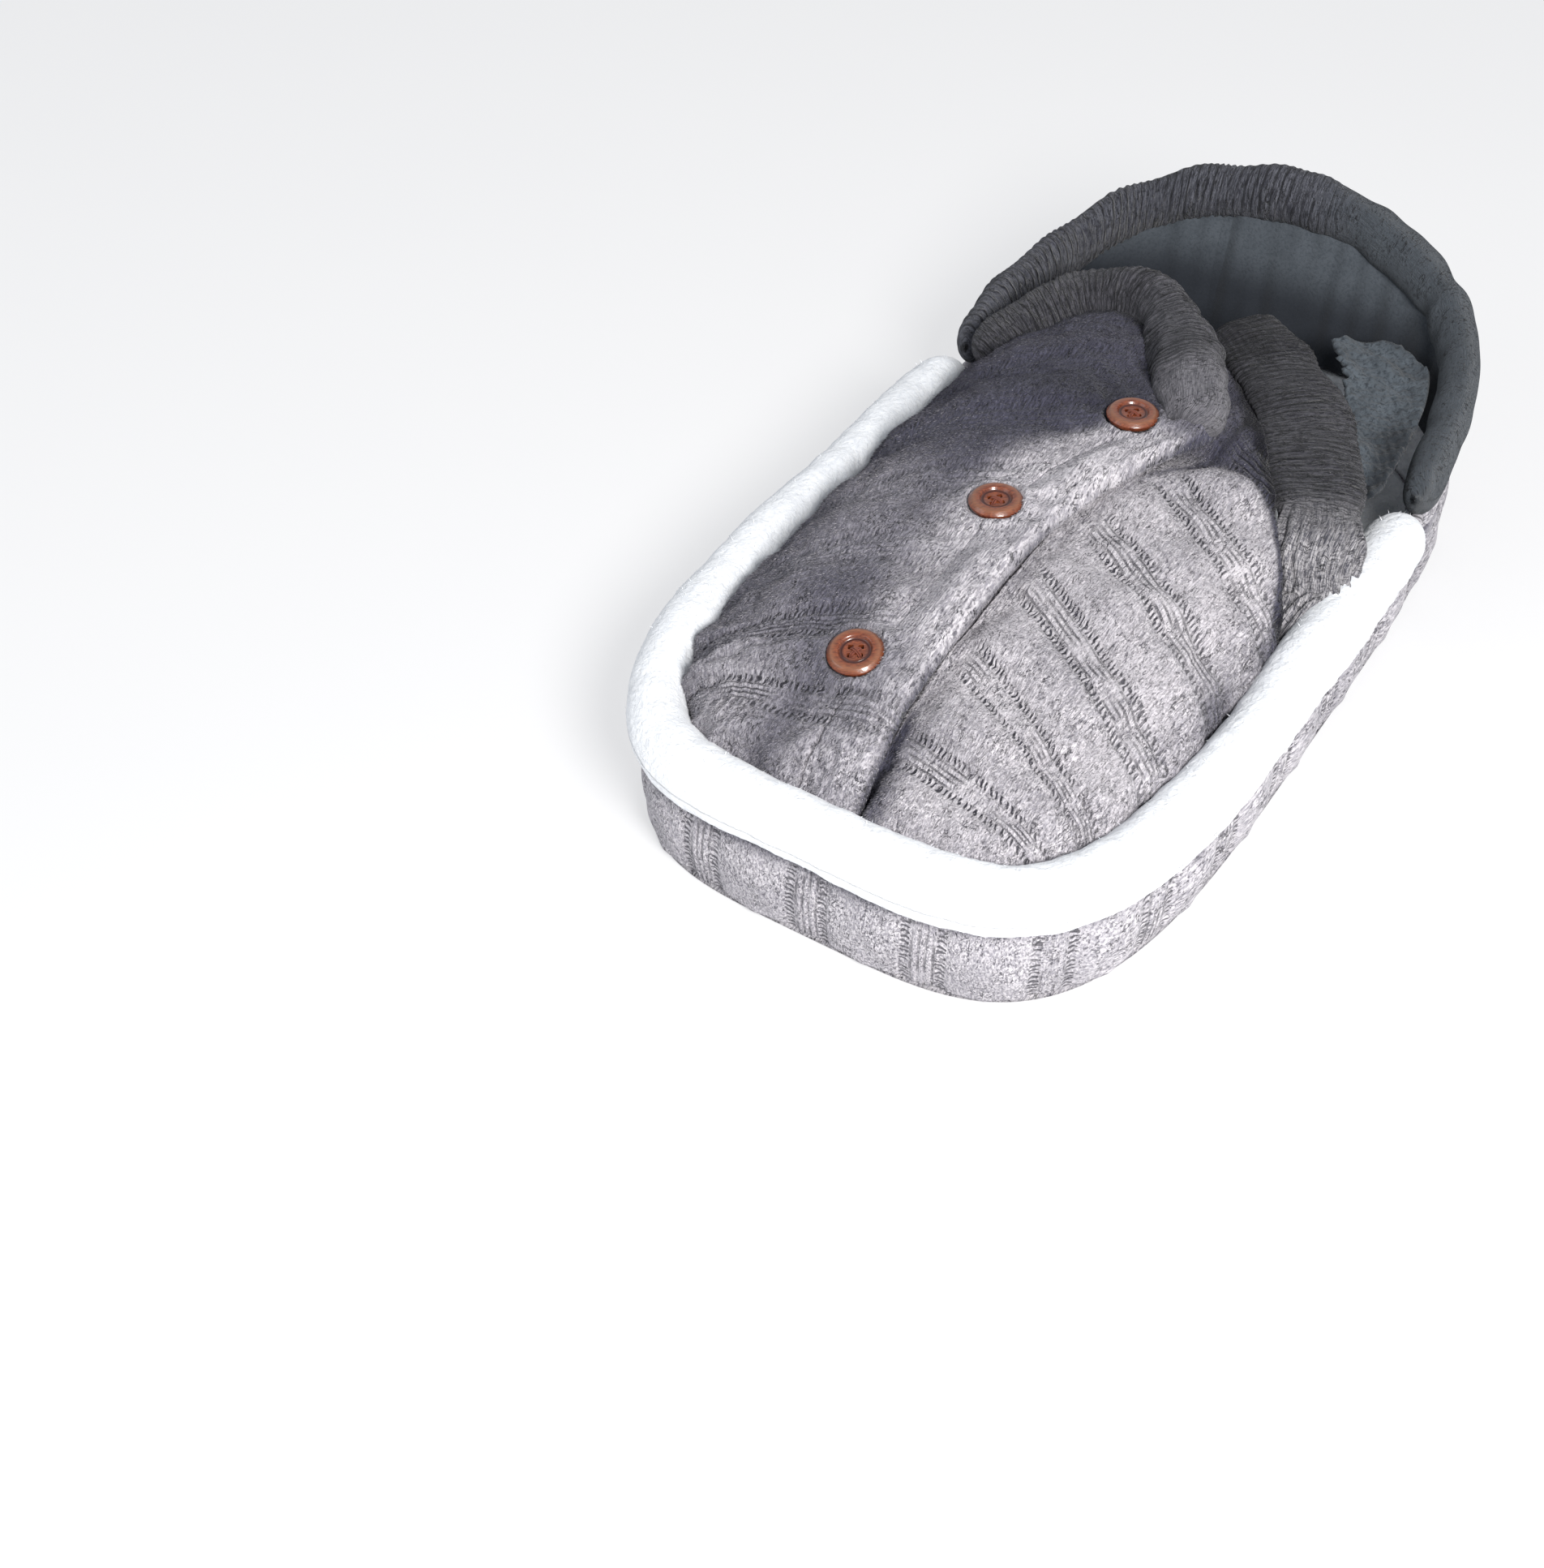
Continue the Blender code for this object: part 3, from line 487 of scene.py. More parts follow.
def pad(name, sheet, thickness, edges, material, relief=0, back=0, around=False, flip=False, fields=None):
    """A closed padded cloth under a grid of points. Relief lifts its outer face and back its inner one."""
    outwards = normals_of(sheet, around) * (-1 if flip else 1)
    full = rounding(sheet, edges, around)
    middle = sheet - outwards * (thickness / 2)
    outer = middle + outwards * ((thickness / 2 + relief) * full)[..., None]
    inner = middle - outwards * ((thickness / 2 + back) * full)[..., None]
    inside = (slice(1, -1), slice(None) if around else slice(1, -1))
    numbers = numbered(sheet)
    under = numbers.copy()
    under[inside] = numbered(numbers[inside], numbers.size)
    faces = np.concatenate((grid_faces(numbers, around), grid_faces(under, around)[:, ::-1]))
    if flip:
        faces = faces[:, ::-1]
    points = np.concatenate((outer.reshape(-1, 3), inner[inside].reshape(-1, 3)))
    spread = {}
    for field, values in {"cloth": sheet, **(fields or {})}.items():
        shape = (-1, 3) if values.ndim == 3 else -1
        spread[field] = np.concatenate((values.reshape(shape), values[inside].reshape(shape)))
    return make_object(name, points, faces, material, spread)


def tube_grid(path, sides):
    """The distance run, its share of the path and the turn round the path, for the points of a tube."""
    run = travel(path[:, None], 0)
    return run, run / run[-1], np.linspace(0, math.tau, sides, endpoint=False)[None]


def tube(name, path, half_width, half_height, turn, material, relief, fields=None, upright=False):
    """A closed roll round a path, drawn in at both ends, whose surface is lifted by the relief."""
    ahead = np.gradient(path, axis=0)
    if upright:
        ahead[:, 2] = 0
    ahead = unit(ahead)
    sideways = unit(np.cross(ahead, (0, 0, 1)))
    upwards = np.cross(sideways, ahead)[:, None]
    sideways = sideways[:, None]
    wide, high = half_width[..., None], half_height[..., None]
    cosine, sine = np.cos(turn)[..., None], np.sin(turn)[..., None]
    run = travel(path[:, None], 0)
    ends = smooth(np.minimum(run, run[-1] - run) / half_height.max())
    rings = path[:, None] + sideways * wide * cosine + upwards * high * sine
    rings = rings + unit(sideways / wide * cosine + upwards / high * sine) * (relief * ends)[..., None]
    numbers = numbered(rings)
    faces = list(grid_faces(numbers, around=True)[:, ::-1])
    for ring, centre in ((numbers[0], numbers.size), (numbers[-1][::-1], numbers.size + 1)):
        faces += [(first, second, centre) for first, second in zip(ring, np.roll(ring, -1))]
    points = np.concatenate((rings.reshape(-1, 3), rings[0].mean(0)[None], rings[-1].mean(0)[None]))
    cloth = stack(run, (half_width + half_height) / 2 * (turn - math.pi), 0)
    tags = {"cloth": cloth.reshape(-1, 3)}
    for field, values in (fields or {}).items():
        tags[field] = np.broadcast_to(values, numbers.shape).ravel()
    tags = {field: np.concatenate((values, values[:1], values[-1:])) for field, values in tags.items()}
    return make_object(name, points, faces, material, tags)


def closing(length, reach):
    """The share of a roll's size near its two ends, over this reach."""
    gap = np.clip(np.minimum(length, length[-1] - length) / reach, 0.001, 1)
    return np.sqrt(1 - (1 - gap) ** 2)


def even_path(points, step):
    """A smooth line through a few points, cut to even steps."""
    points = np.asarray(points, float)
    shares = travel(points[:, None], 0)[:, 0]
    count = max(int(shares[-1] / step), 8)
    wanted = np.linspace(0, shares[-1], count + 1)
    line = np.stack([np.interp(wanted, shares, points[:, axis]) for axis in range(3)], axis=-1)
    width = max(int(count / len(points) * 0.8), 1)
    window = np.hanning(2 * width + 3)[1:-1]
    window /= window.sum()
    padded = np.concatenate((
        2 * line[:1] - line[width:0:-1],
        line,
        2 * line[-1:] - line[-2:-width - 2:-1],
    ))
    return np.stack([np.convolve(padded[:, axis], window, mode="valid") for axis in range(3)], axis=-1)


def pile(name, source, count, length, width, lean, seed, density=None):
    """Short fibres that stand on the outer side of a piece and take its colour, with its painted light and
    shade.
    """
    mesh = source.data
    dice = np.random.default_rng(seed)
    points = np.empty(len(mesh.vertices) * 3)
    mesh.vertices.foreach_get("co", points)
    points = points.reshape(-1, 3)
    quads = np.array([face.vertices for face in mesh.polygons if len(face.vertices) == 4])
    corners = points[quads]
    square = np.cross(corners[:, 2] - corners[:, 0], corners[:, 3] - corners[:, 1])
    area = np.linalg.norm(square, axis=1)
    if density is not None:
        area = area * density(corners.mean(1), unit(square))
    picked = np.searchsorted(np.cumsum(area) / area.sum(), dice.random(count))
    across, along = dice.random((2, count, 1))
    chosen = corners[picked]
    root = mixed(mixed(chosen[:, 0], chosen[:, 1], along), mixed(chosen[:, 3], chosen[:, 2], along), across)
    stray = dice.normal(size=(count, 3))
    way = unit(unit(square[picked]) + np.array(lean) + 0.45 * stray)
    tip = root + way * (length * dice.uniform(0.5, 1.1, (count, 1)))
    side = unit(np.cross(way, stray)) * (width / 2)
    corners = np.stack((root - side, root + side, tip), axis=1).reshape(-1, 3)
    tone_and_shading = np.zeros(len(points))
    if "tone_and_shading" in mesh.attributes:
        mesh.attributes["tone_and_shading"].data.foreach_get("value", tone_and_shading)
    tone_and_shading = tone_and_shading[quads[picked, 0]] + FUZZ_LIGHTER + dice.normal(0, 0.13, count)
    fields = {"cloth": corners + np.repeat(0.02 * stray, 3, axis=0), "tone_and_shading": np.repeat(tone_and_shading, 3)}
    faces = np.arange(3 * count).reshape(-1, 3).tolist()
    return make_object(name, corners, faces, mesh.materials[0], fields)


# Materials


class NodeValue:
    """A value of a node tree that varies over a surface, and joins in sums as a number does."""

    def __init__(self, tree, socket):
        self.tree = tree
        self.socket = socket

    def __add__(self, other):
        return maths("ADD", self, other)

    def __sub__(self, other):
        return maths("SUBTRACT", self, other)

    def __rsub__(self, other):
        return maths("SUBTRACT", other, self)

    def __mul__(self, other):
        return maths("MULTIPLY", self, other)

    def __truediv__(self, other):
        return maths("DIVIDE", self, other)

    def __abs__(self):
        return maths("ABSOLUTE", self)


def node(tree, kind, inputs=None, output=0, **settings):
    made = tree.nodes.new("ShaderNode" + kind)
    for key, value in settings.items():
        setattr(made, key, value)
    for key, value in (inputs or {}).items():
        if isinstance(value, NodeValue):
            tree.links.new(value.socket, made.inputs[key])
        else:
            made.inputs[key].default_value = value
    return NodeValue(tree, made.outputs[output])


def maths(operation, first, second=0.0, clamp=False):
    tree = (first if isinstance(first, NodeValue) else second).tree
    return node(tree, "Math", {0: first, 1: second}, operation=operation, use_clamp=clamp)


def ramp(value, low, high, first=0.0, last=1.0):
    inputs = {"Value": value, "From Min": low, "From Max": high, "To Min": first, "To Max": last}
    return node(value.tree, "MapRange", inputs, interpolation_type="SMOOTHSTEP")


def blend_colour(share, first, last, how="MIX"):
    first, last = (colour if isinstance(colour, NodeValue) else (*colour, 1) for colour in (first, last))
    return node(share.tree, "Mix", {0: share, 6: first, 7: last}, 2, data_type="RGBA", blend_type=how)


def noise(vector, scale, detail=3.0, roughness=0.6, distortion=0.0):
    inputs = {"Vector": vector, "Scale": scale, "Detail": detail, "Roughness": roughness}
    return node(vector.tree, "TexNoise", {**inputs, "Distortion": distortion}, "Fac")


def attribute(tree, name, output="Vector"):
    return node(tree, "Attribute", output=output, attribute_name=name)


def stretched(vector, scale):
    return node(vector.tree, "Mapping", {"Vector": vector, "Scale": scale})


def axes(vector):
    """The three parts of a vector."""
    first = node(vector.tree, "SeparateXYZ", {"Vector": vector})
    return [NodeValue(vector.tree, socket) for socket in first.socket.node.outputs]


def new_material(name, roughness, sheen=0.0, sheen_roughness=0.5, coat=0.0):
    material = bpy.data.materials.new(name)
    material.use_nodes = True
    tree = material.node_tree
    shader = tree.nodes["Principled BSDF"]
    shader.inputs["Roughness"].default_value = roughness
    shader.inputs["Sheen Weight"].default_value = sheen
    shader.inputs["Sheen Roughness"].default_value = sheen_roughness
    shader.inputs["Coat Weight"].default_value = coat
    shader.inputs["Specular IOR Level"].default_value = 0.25
    return material, tree, shader


def connect(shader, colour, height=None, distance=0.0, strength=1.0):
    """Gives a shader its colour and its bump."""
    tree = colour.tree
    tree.links.new(colour.socket, shader.inputs["Base Color"])
    if height:
        bump = node(tree, "Bump", {"Height": height, "Distance": distance, "Strength": strength})
        tree.links.new(bump.socket, shader.inputs["Normal"])


def knit_gap_shade(tree, cloth):
    """Painted shade in the gaps of the knit: dark dashes in the ladders beside the cords, dark creases
    between the cords, and thin dark veins.
    """
    run, gap, strength = axes(attribute(tree, "ladder"))
    beside = abs(gap - LADDER_REACH) + noise(cloth, 160, 1) * 0.0022
    teeth = run / LADDER_PITCH + noise(cloth, 150, 1) * 1.6
    teeth = ramp(maths("PINGPONG", teeth, 0.5), 0.25, 0.13)
    dash = ramp(beside, 0.0051, 0.0036) * teeth * ramp(noise(cloth, 70, 2), 0.30, 0.46)
    edge = maths("MINIMUM", abs(gap - CORD_PITCH / 2), abs(gap - (CORD_REACH + 0.0006)))
    crease = ramp(edge, 0.0012, 0.0004) * ramp(noise(cloth, 48, 2), 0.36, 0.62)
    gap_shade = maths("MULTIPLY", maths("MAXIMUM", dash, crease * 0.8), strength, clamp=True)
    vein = noise(stretched(cloth, (230, 70, 150)), 1, 2, 0.55, 0.7)
    vein = ramp(abs(vein - 0.5), 0.020, 0.007) * ramp(noise(cloth, 60, 3), 0.48, 0.58, 0.0, 0.85)
    return maths("MAXIMUM", gap_shade, vein)


def rib_shade_lines(cloth, pitch):
    """Painted shade: dark lines across a roll, between its ribs."""
    bent = noise(stretched(cloth, (60, 25, 25)), 1, 2) * 1.5
    rows = maths("PINGPONG", axes(cloth)[0] / pitch + bent, 0.5)
    thin = noise(stretched(cloth, (700, 45, 45)), 1, 3, 0.7)
    lines = maths("MAXIMUM", ramp(rows, 0.16, 0.05), ramp(thin, 0.44, 0.34))
    return lines * ramp(noise(cloth, 35, 2), 0.32, 0.58, 0.2, 0.8)


def knit_material(name, light, dark, rib_pitch=None, plain=None):
    """Brushed knit: strokes of fibre, with painted shade in the pits between the stitches and in the ladder
    gaps, creases and veins of the cable.

    With a rib pitch it also has dark lines of painted shade between the ribs, except where the attribute
    plain is 1:
    there the cloth is smooth and has the two colours of plain.
    """
    material, tree, shader = new_material(name, 0.95, sheen=0.15, sheen_roughness=0.4)
    cloth = attribute(tree, "cloth")
    speckle = noise(cloth, 620, 3, 0.75)
    strokes = noise(stretched(cloth, (820, 120, 450)), 1, 3, 0.62, 0.4)
    # Painted shade in the pits between the stitches.
    pit_shade = ramp(noise(stretched(cloth, (620, 200, 400)), 1, 2, 0.7), 0.43, 0.36)
    pit_shade = pit_shade * ramp(noise(cloth, 42, 2), 0.36, 0.60, 0.25, 1.0) * 0.8
    gap_shade = knit_gap_shade(tree, cloth)
    if rib_pitch:
        share = attribute(tree, "plain", "Fac")
        light = blend_colour(share, light, plain[0])
        dark = blend_colour(share, dark, plain[1])
        crossed = noise(stretched(cloth, (110, 1300, 600)), 1, 3, 0.65, 0.6)
        strokes = strokes + (crossed - strokes) * share
        gap_shade = maths("MAXIMUM", gap_shade, rib_shade_lines(cloth, rib_pitch) * (1.0 - share))
    base = blend_colour(ramp(strokes * 0.72 + speckle * 0.28, 0.39, 0.61), dark, light)
    base = blend_colour(ramp(noise(cloth, 30, 3, 0.6), 0.60, 0.38, 0.0, 0.25), base, dark)
    # Painted light and shade from the point field: above 0 the knit turns lighter, below 0 darker and bluer,
    # and below -1 darker still.
    tone_and_shading = attribute(tree, "tone_and_shading", "Fac")
    base = blend_colour(ramp(tone_and_shading, 0.0, 1.0, 0.0, 0.6), base, light)
    base = blend_colour(ramp(tone_and_shading, 0.0, -1.0), base, (0.125, 0.128, 0.178), "MULTIPLY")
    base = blend_colour(ramp(tone_and_shading, -1.0, -2.0), base, (0.15, 0.15, 0.18), "MULTIPLY")
    # Painted shade: dark pits between the stitches, then the dark ladder gaps, creases, veins and rib lines.
    base = blend_colour(pit_shade, base, (0.2, 0.2, 0.24), "MULTIPLY")
    base = blend_colour(gap_shade, base, (0.07, 0.07, 0.09), "MULTIPLY")
    connect(shader, base, strokes + speckle * 0.5 - pit_shade - gap_shade * 1.2, 0.0026, 0.9)
    return material


def plush_material(name, light, dark, size=260, depth=0.003, sheen=0.4):
    """Deep soft pile, with the clumps that it falls into."""
    material, tree, shader = new_material(name, 0.95, sheen=sheen, sheen_roughness=0.5)
    cloth = attribute(tree, "cloth")
    clump = noise(cloth, size, 3, 0.6, 0.6)
    soft = noise(cloth, size / 7, 2, 0.5)
    shade = (dark[0] * 0.3, dark[1] * 0.3, dark[2] * 0.34)
    base = blend_colour(ramp(clump, 0.25, 0.60), dark, light)
    base = blend_colour(ramp(soft, 0.60, 0.35, 0.0, 0.3), base, dark)
    base = blend_colour(ramp(attribute(tree, "tone_and_shading", "Fac"), 0.0, -1.0), base, shade)
    connect(shader, base, clump + soft * 1.6, depth, 0.7)
    return material


def wood_material(name):
    """Stained and varnished wood, with rings across the button."""
    material, tree, shader = new_material(name, 0.28, coat=0.8)
    shader.inputs["Coat Roughness"].default_value = 0.12
    shader.inputs["Specular IOR Level"].default_value = 0.5
    grain = attribute(tree, "cloth")
    rings = noise(stretched(grain, (150, 900, 400)), 1, 4, 0.6, 1.5)
    fleck = noise(stretched(grain, (500, 3500, 900)), 1, 2, 0.6)
    tone_and_shading = attribute(tree, "tone_and_shading", "Fac")
    base = blend_colour(ramp(rings, 0.35, 0.65), (0.10, 0.018, 0.0065), (0.255, 0.066, 0.023))
    base = blend_colour(ramp(fleck, 0.62, 0.75, 0.0, 0.5), base, (0.06, 0.012, 0.006))
    # Lighter tan where the button's field is above 0; painted shade, a near-black red, where it is below 0.
    base = blend_colour(ramp(tone_and_shading, 0.0, 1.0, 0.0, 0.6), base, (0.25, 0.115, 0.062))
    base = blend_colour(ramp(tone_and_shading, 0.0, -1.0), base, (0.045, 0.007, 0.004))
    connect(shader, base, rings, 0.0003, 0.5)
    return material


def thread_material(name):
    material, tree, shader = new_material(name, 0.7, sheen=0.2)
    place = node(tree, "TexCoord", output="Object")
    twist = node(tree, "TexWave", {"Vector": place, "Scale": 600.0, "Distortion": 2.0}, "Fac")
    connect(shader, blend_colour(twist, (0.10, 0.020, 0.012), (0.30, 0.075, 0.04)), twist, 0.0002)
    return material


def metal_material(name):
    material, tree, shader = new_material(name, 0.3)
    scuff = noise(node(tree, "TexCoord", output="Object"), 900, 4)
    connect(shader, blend_colour(scuff, (0.50, 0.50, 0.52), (0.66, 0.66, 0.68)))
    tree.links.new(ramp(scuff, 0.3, 0.7, 0.22, 0.42).socket, shader.inputs["Roughness"])
    shader.inputs["Metallic"].default_value = 1
    return material


# Painted shade: the collar roll, the ribbed part of the collar band and the hood band are much darker copies
# of the main knit, and the hood's fleece lining and lapel are dark copies of the white plush, for the shade
# that falls on them near the hood; the band's gathered foot is lighter.
FLEECE_IN_SHADE = ((0.086, 0.098, 0.114), (0.054, 0.064, 0.076))
RIB_PLAIN_IN_SHADE = ((0.27, 0.26, 0.285), (0.065, 0.064, 0.078))
BAND_PLAIN = ((0.58, 0.56, 0.58), (0.07, 0.07, 0.09))
knit = knit_material("knit_cloth", (0.80, 0.765, 0.80), (0.33, 0.315, 0.355))
knit_rib_in_shade = knit_material("knit_rib_in_shade", (0.108, 0.105, 0.121), (0.020, 0.020, 0.026), RIB_PITCH, RIB_PLAIN_IN_SHADE)
knit_band_in_shade = knit_material(
    "knit_collar_band_in_shade", (0.072, 0.071, 0.083), (0.014, 0.014, 0.019), BAND_RIB_PITCH, BAND_PLAIN
)
knit_hood_in_shade = knit_material("knit_hood_in_shade", (0.135, 0.138, 0.162), (0.034, 0.035, 0.047), HOOD_RIB_PITCH, FLEECE_IN_SHADE)
plush = plush_material("plush", (0.88, 0.895, 0.92), (0.76, 0.785, 0.83), depth=0.002, sheen=0.3)
fleece = plush_material(
    "fleece", (0.100, 0.118, 0.137), (0.026, 0.032, 0.040), size=330, depth=0.0022, sheen=0.1
)
smooth_fleece_in_shade = plush_material("smooth_fleece_in_shade", *FLEECE_IN_SHADE, size=420, depth=0.0008, sheen=0.1)
wood = wood_material("wood")
thread = thread_material("thread")
metal = metal_material("stud_metal")


# Knit pattern of the front, in plan


def stripe_fields(x, y):
    """Distance run along the nearest stripe, distance from it, and half the space between two of them.

    The stripes lean less and less towards the foot, so the place on the middle line where a point's own
    stripe starts is worked out in a few steps of Newton's method.
    """
    side = np.abs(x)
    start = y + STRIPE_SLOPE * side
    for _ in range(STRIPE_TRIES):
        share = np.clip((start - STRIPE_FAN_LOW) / STRIPE_FAN_RUN, 0, 1)
        slope = -STRIPE_SLOPE * smooth(share)
        change = -STRIPE_SLOPE * 6 * share * (1 - share) / STRIPE_FAN_RUN
        start = start - (start + slope * side - y) / np.maximum(1 + change * side, 0.25)
    slope = -STRIPE_SLOPE * smooth((start - STRIPE_FAN_LOW) / STRIPE_FAN_RUN)
    phase = (start - STRIPE_FIRST) / STRIPE_PITCH
    nearest = np.round(phase)
    squeeze = 1 / np.sqrt(1 + slope * slope)
    gap = np.abs(phase - nearest) * STRIPE_PITCH * squeeze
    run = side / squeeze + 0.37 * LADDER_PITCH * nearest
    return run, gap, STRIPE_PITCH / 2 * squeeze


def knit_relief(run, gap, half, strength, braid):
    """Height of the cable knit: fine cords, sunk ladders beside them, and swelling plain cloth between."""
    cords = CORD_HEIGHT * (0.5 + 0.5 * wave(gap / CORD_PITCH))
    cords = cords * smooth((CORD_REACH - gap) / 0.0015)
    ladder = -LADDER_DEPTH * bell(gap - LADDER_REACH, LADDER_WIDTH)
    swell = np.clip((gap - PUFF_START) / np.maximum(half - PUFF_START, 1e-4), 0, 1)
    puff = PUFF_HEIGHT * np.sqrt(1 - (1 - swell) ** 2)
    middle = (half - gap) / BRAID_REACH
    lobe = 0.5 + 0.5 * wave(run / BRAID_PITCH + 0.6 * middle)
    twist = braid * lobe * np.sqrt(np.clip(1 - middle * middle, 0, 1))
    return (cords + ladder + puff) * strength + twist


def button_clear(x, y, reach=0.030):
    """0 under a button and 1 away from all of them."""
    edge = BUTTON_DIAMETER * 0.46
    clear = np.ones_like(x)
    for button_x, button_y in BUTTON_PLACES:
        clear = clear * smooth((np.hypot(x - button_x, y - button_y) - edge) / (reach - edge))
    return clear


def button_swell(x, y):
    """Cloth that stands up round the buttons, which are sunk in it."""
    swell = 0 * x
    for button_x, button_y in BUTTON_PLACES:
        distance = np.hypot(x - button_x, y - button_y)
        turn = np.arctan2(y - button_y, x - button_x)
        over = smooth(np.cos(turn - 0.9))
        lip = 0.0048 + 0.0042 * over + 0.0010 * np.sin(3 * turn + 9 * button_y)
        swell = swell + lip * bell(distance - 0.0240 + 0.0012 * over, 0.0050)
        swell = swell + 0.0011 * np.sin(9 * turn + 20 * button_x) * bell(distance - 0.034, 0.010)
    return swell


def worn_cloth(sheet, clear):
    """Fine creases, except under the buttons."""
    return 0.0016 * ripple(sheet, 0.075, 7) * clear + 0.0007 * ripple(sheet, 0.022, 8)


def front_folds(flap, x, y):
    """Soft folds of the worn cloth, with the cloth drawn in round the buttons."""
    if flap is LEFT:
        puff = (0.004, -0.085, 0.03, 0.045, 0.10)
        return spots(x, y, (-0.004, -0.045, -0.165, 0.028, 0.05), (-0.004, -0.035, 0.005, 0.030, 0.035), puff)
    return spots(x, y, (0.003, 0.075, 0.02, 0.05, 0.12)) - 0.002 * bell(x - placket_edge(y) - 0.008, 0.010)


def foot_lobes(x, y):
    """The two twists of the cable that swell at the foot of the left flap, and the hollow between them."""
    folds = spots(x, y, (-0.0035, -0.060, -0.325, 0.013, 0.045))
    for lobe_x, lobe_y in FOOT_LOBES:
        distance = np.hypot(x - lobe_x, (y - lobe_y) * 0.7)
        rings = 0.0012 * wave((distance + 0.25 * (x - lobe_x)) / 0.0085)
        folds = folds + (0.0056 + rings) * bell(distance, 0.024)
    return folds


# Painted light and shade on the placket: lighter on its lip between the middle and upper buttons, darker
# towards the foot and towards the neck, with uneven patches.
def placket_tone_and_shading(points):
    y = points[..., 1]
    tone_and_shading = -0.26 + 0.66 * bell(y + 0.03, 0.07) - 0.36 * smooth((-0.20 - y) / 0.08)
    return tone_and_shading + 0.08 * ripple(points, 0.06, 13) - 0.45 * smooth((y - 0.02) / 0.05)


# Filling of the front


def front_grid(flap, step):
    """The flap's surface as a grid, its border pressed against the rim."""
    along, share = lattice(*FRONT_CLOTH, step)
    across = 0.5 * share + 0.5 * np.arccos(1 - share) / (math.pi / 2)
    points = front_point(flap, along, np.clip(across, 0, 1))
    x, y = plan(points)
    turn = np.linspace(-math.pi, math.pi, 721)
    ring_x, ring_y = plan(ring_point(turn, -EDGE_CLOSE))
    edge_x, edge_y = outline_point(turn, FRONT_HALF_WIDTH, FRONT_HALF_LENGTH, FRONT_CORNER_POWER)
    bearing = np.arctan2(y, x)
    far = np.interp(bearing, np.arctan2(ring_y, ring_x), np.hypot(ring_x, ring_y))
    near = np.interp(bearing, np.arctan2(edge_y, edge_x), np.hypot(edge_x, edge_y))
    pressed = smooth((np.hypot(x, y) / near - PRESSED_SHARE) / (1 - PRESSED_SHARE))
    points[..., :2] *= (1 + (far / near - 1) * pressed)[..., None]
    return points


def finer(field, shape):
    """The values of a coarse grid on a finer grid of the same cloth."""
    along = np.linspace(0, field.shape[0] - 1, shape[0])
    across = np.linspace(0, field.shape[1] - 1, shape[1])
    wide = np.stack([np.interp(across, np.arange(field.shape[1]), line) for line in field])
    return np.stack([np.interp(along, np.arange(field.shape[0]), line) for line in wide.T], axis=1)


def soften(field, times):
    """A field with its sharp changes spread out."""
    for _ in range(times):
        around = np.pad(field, 1, mode="edge")
        field = (around[:-2, 1:-1] + around[2:, 1:-1] + around[1:-1, :-2] + around[1:-1, 2:] + 2 * field) / 6
    return field


def filled(sheet, thickness, sewn, flip):
    """How far padded cloth swells when it is filled: a short simulation, held where the cloth is sewn."""
    thing = pad("filling", sheet, thickness, (0.004,) * 4, knit, flip=flip)
    group = thing.vertex_groups.new(name="sewn")
    weights = np.concatenate((sewn.ravel(), sewn[1:-1, 1:-1].ravel()))
    for number in np.flatnonzero(weights > 0.01):
        group.add([int(number)], float(weights[number]), "REPLACE")
    modifier = thing.modifiers.new("filling", "CLOTH")
    for key, value in FILL_SETTINGS.items():
        setattr(modifier.settings, key, value)
    modifier.settings.effector_weights.gravity = 0
    modifier.collision_settings.use_collision = False
    scene = bpy.context.scene
    for number in range(1, FILL_FRAMES + 1):
        scene.frame_set(number)
    ready = thing.evaluated_get(bpy.context.evaluated_depsgraph_get())
    start, end = np.empty((2, 3 * len(weights)))
    thing.data.vertices.foreach_get("co", start)
    ready.data.vertices.foreach_get("co", end)
    moved = (end - start).reshape(-1, 3)[: sewn.size].reshape(sheet.shape)
    bpy.data.objects.remove(thing)
    scene.frame_set(1)
    lift = (moved * normals_of(sheet) * (-1 if flip else 1)).sum(-1)
    return FILL_CAP * np.tanh(lift / FILL_CAP)


def front_filling(flap, shape):
    """The swelling of a front flap, sewn down at its border, at the buttons and a little on the stripes."""
    sheet = front_grid(flap, FILL_STEP)
    x, y = plan(sheet)
    along, across = travel(sheet, 0), travel(sheet, 1)
    border = np.minimum(np.minimum(along, along[-1:] - along), np.minimum(across, across[:, -1:] - across))
    sewn = smooth((0.030 - border) / 0.020)
    if flap is LEFT:
        sewn = np.maximum(sewn, 1 - button_clear(x, y, 0.042))
    gap = stripe_fields(x, y)[1]
    sewn = np.maximum(sewn, 0.25 * smooth((0.016 - gap) / 0.006))
    return soften(finer(filled(sheet, QUILT, sewn, flap is RIGHT), shape), 8)


# Front flaps


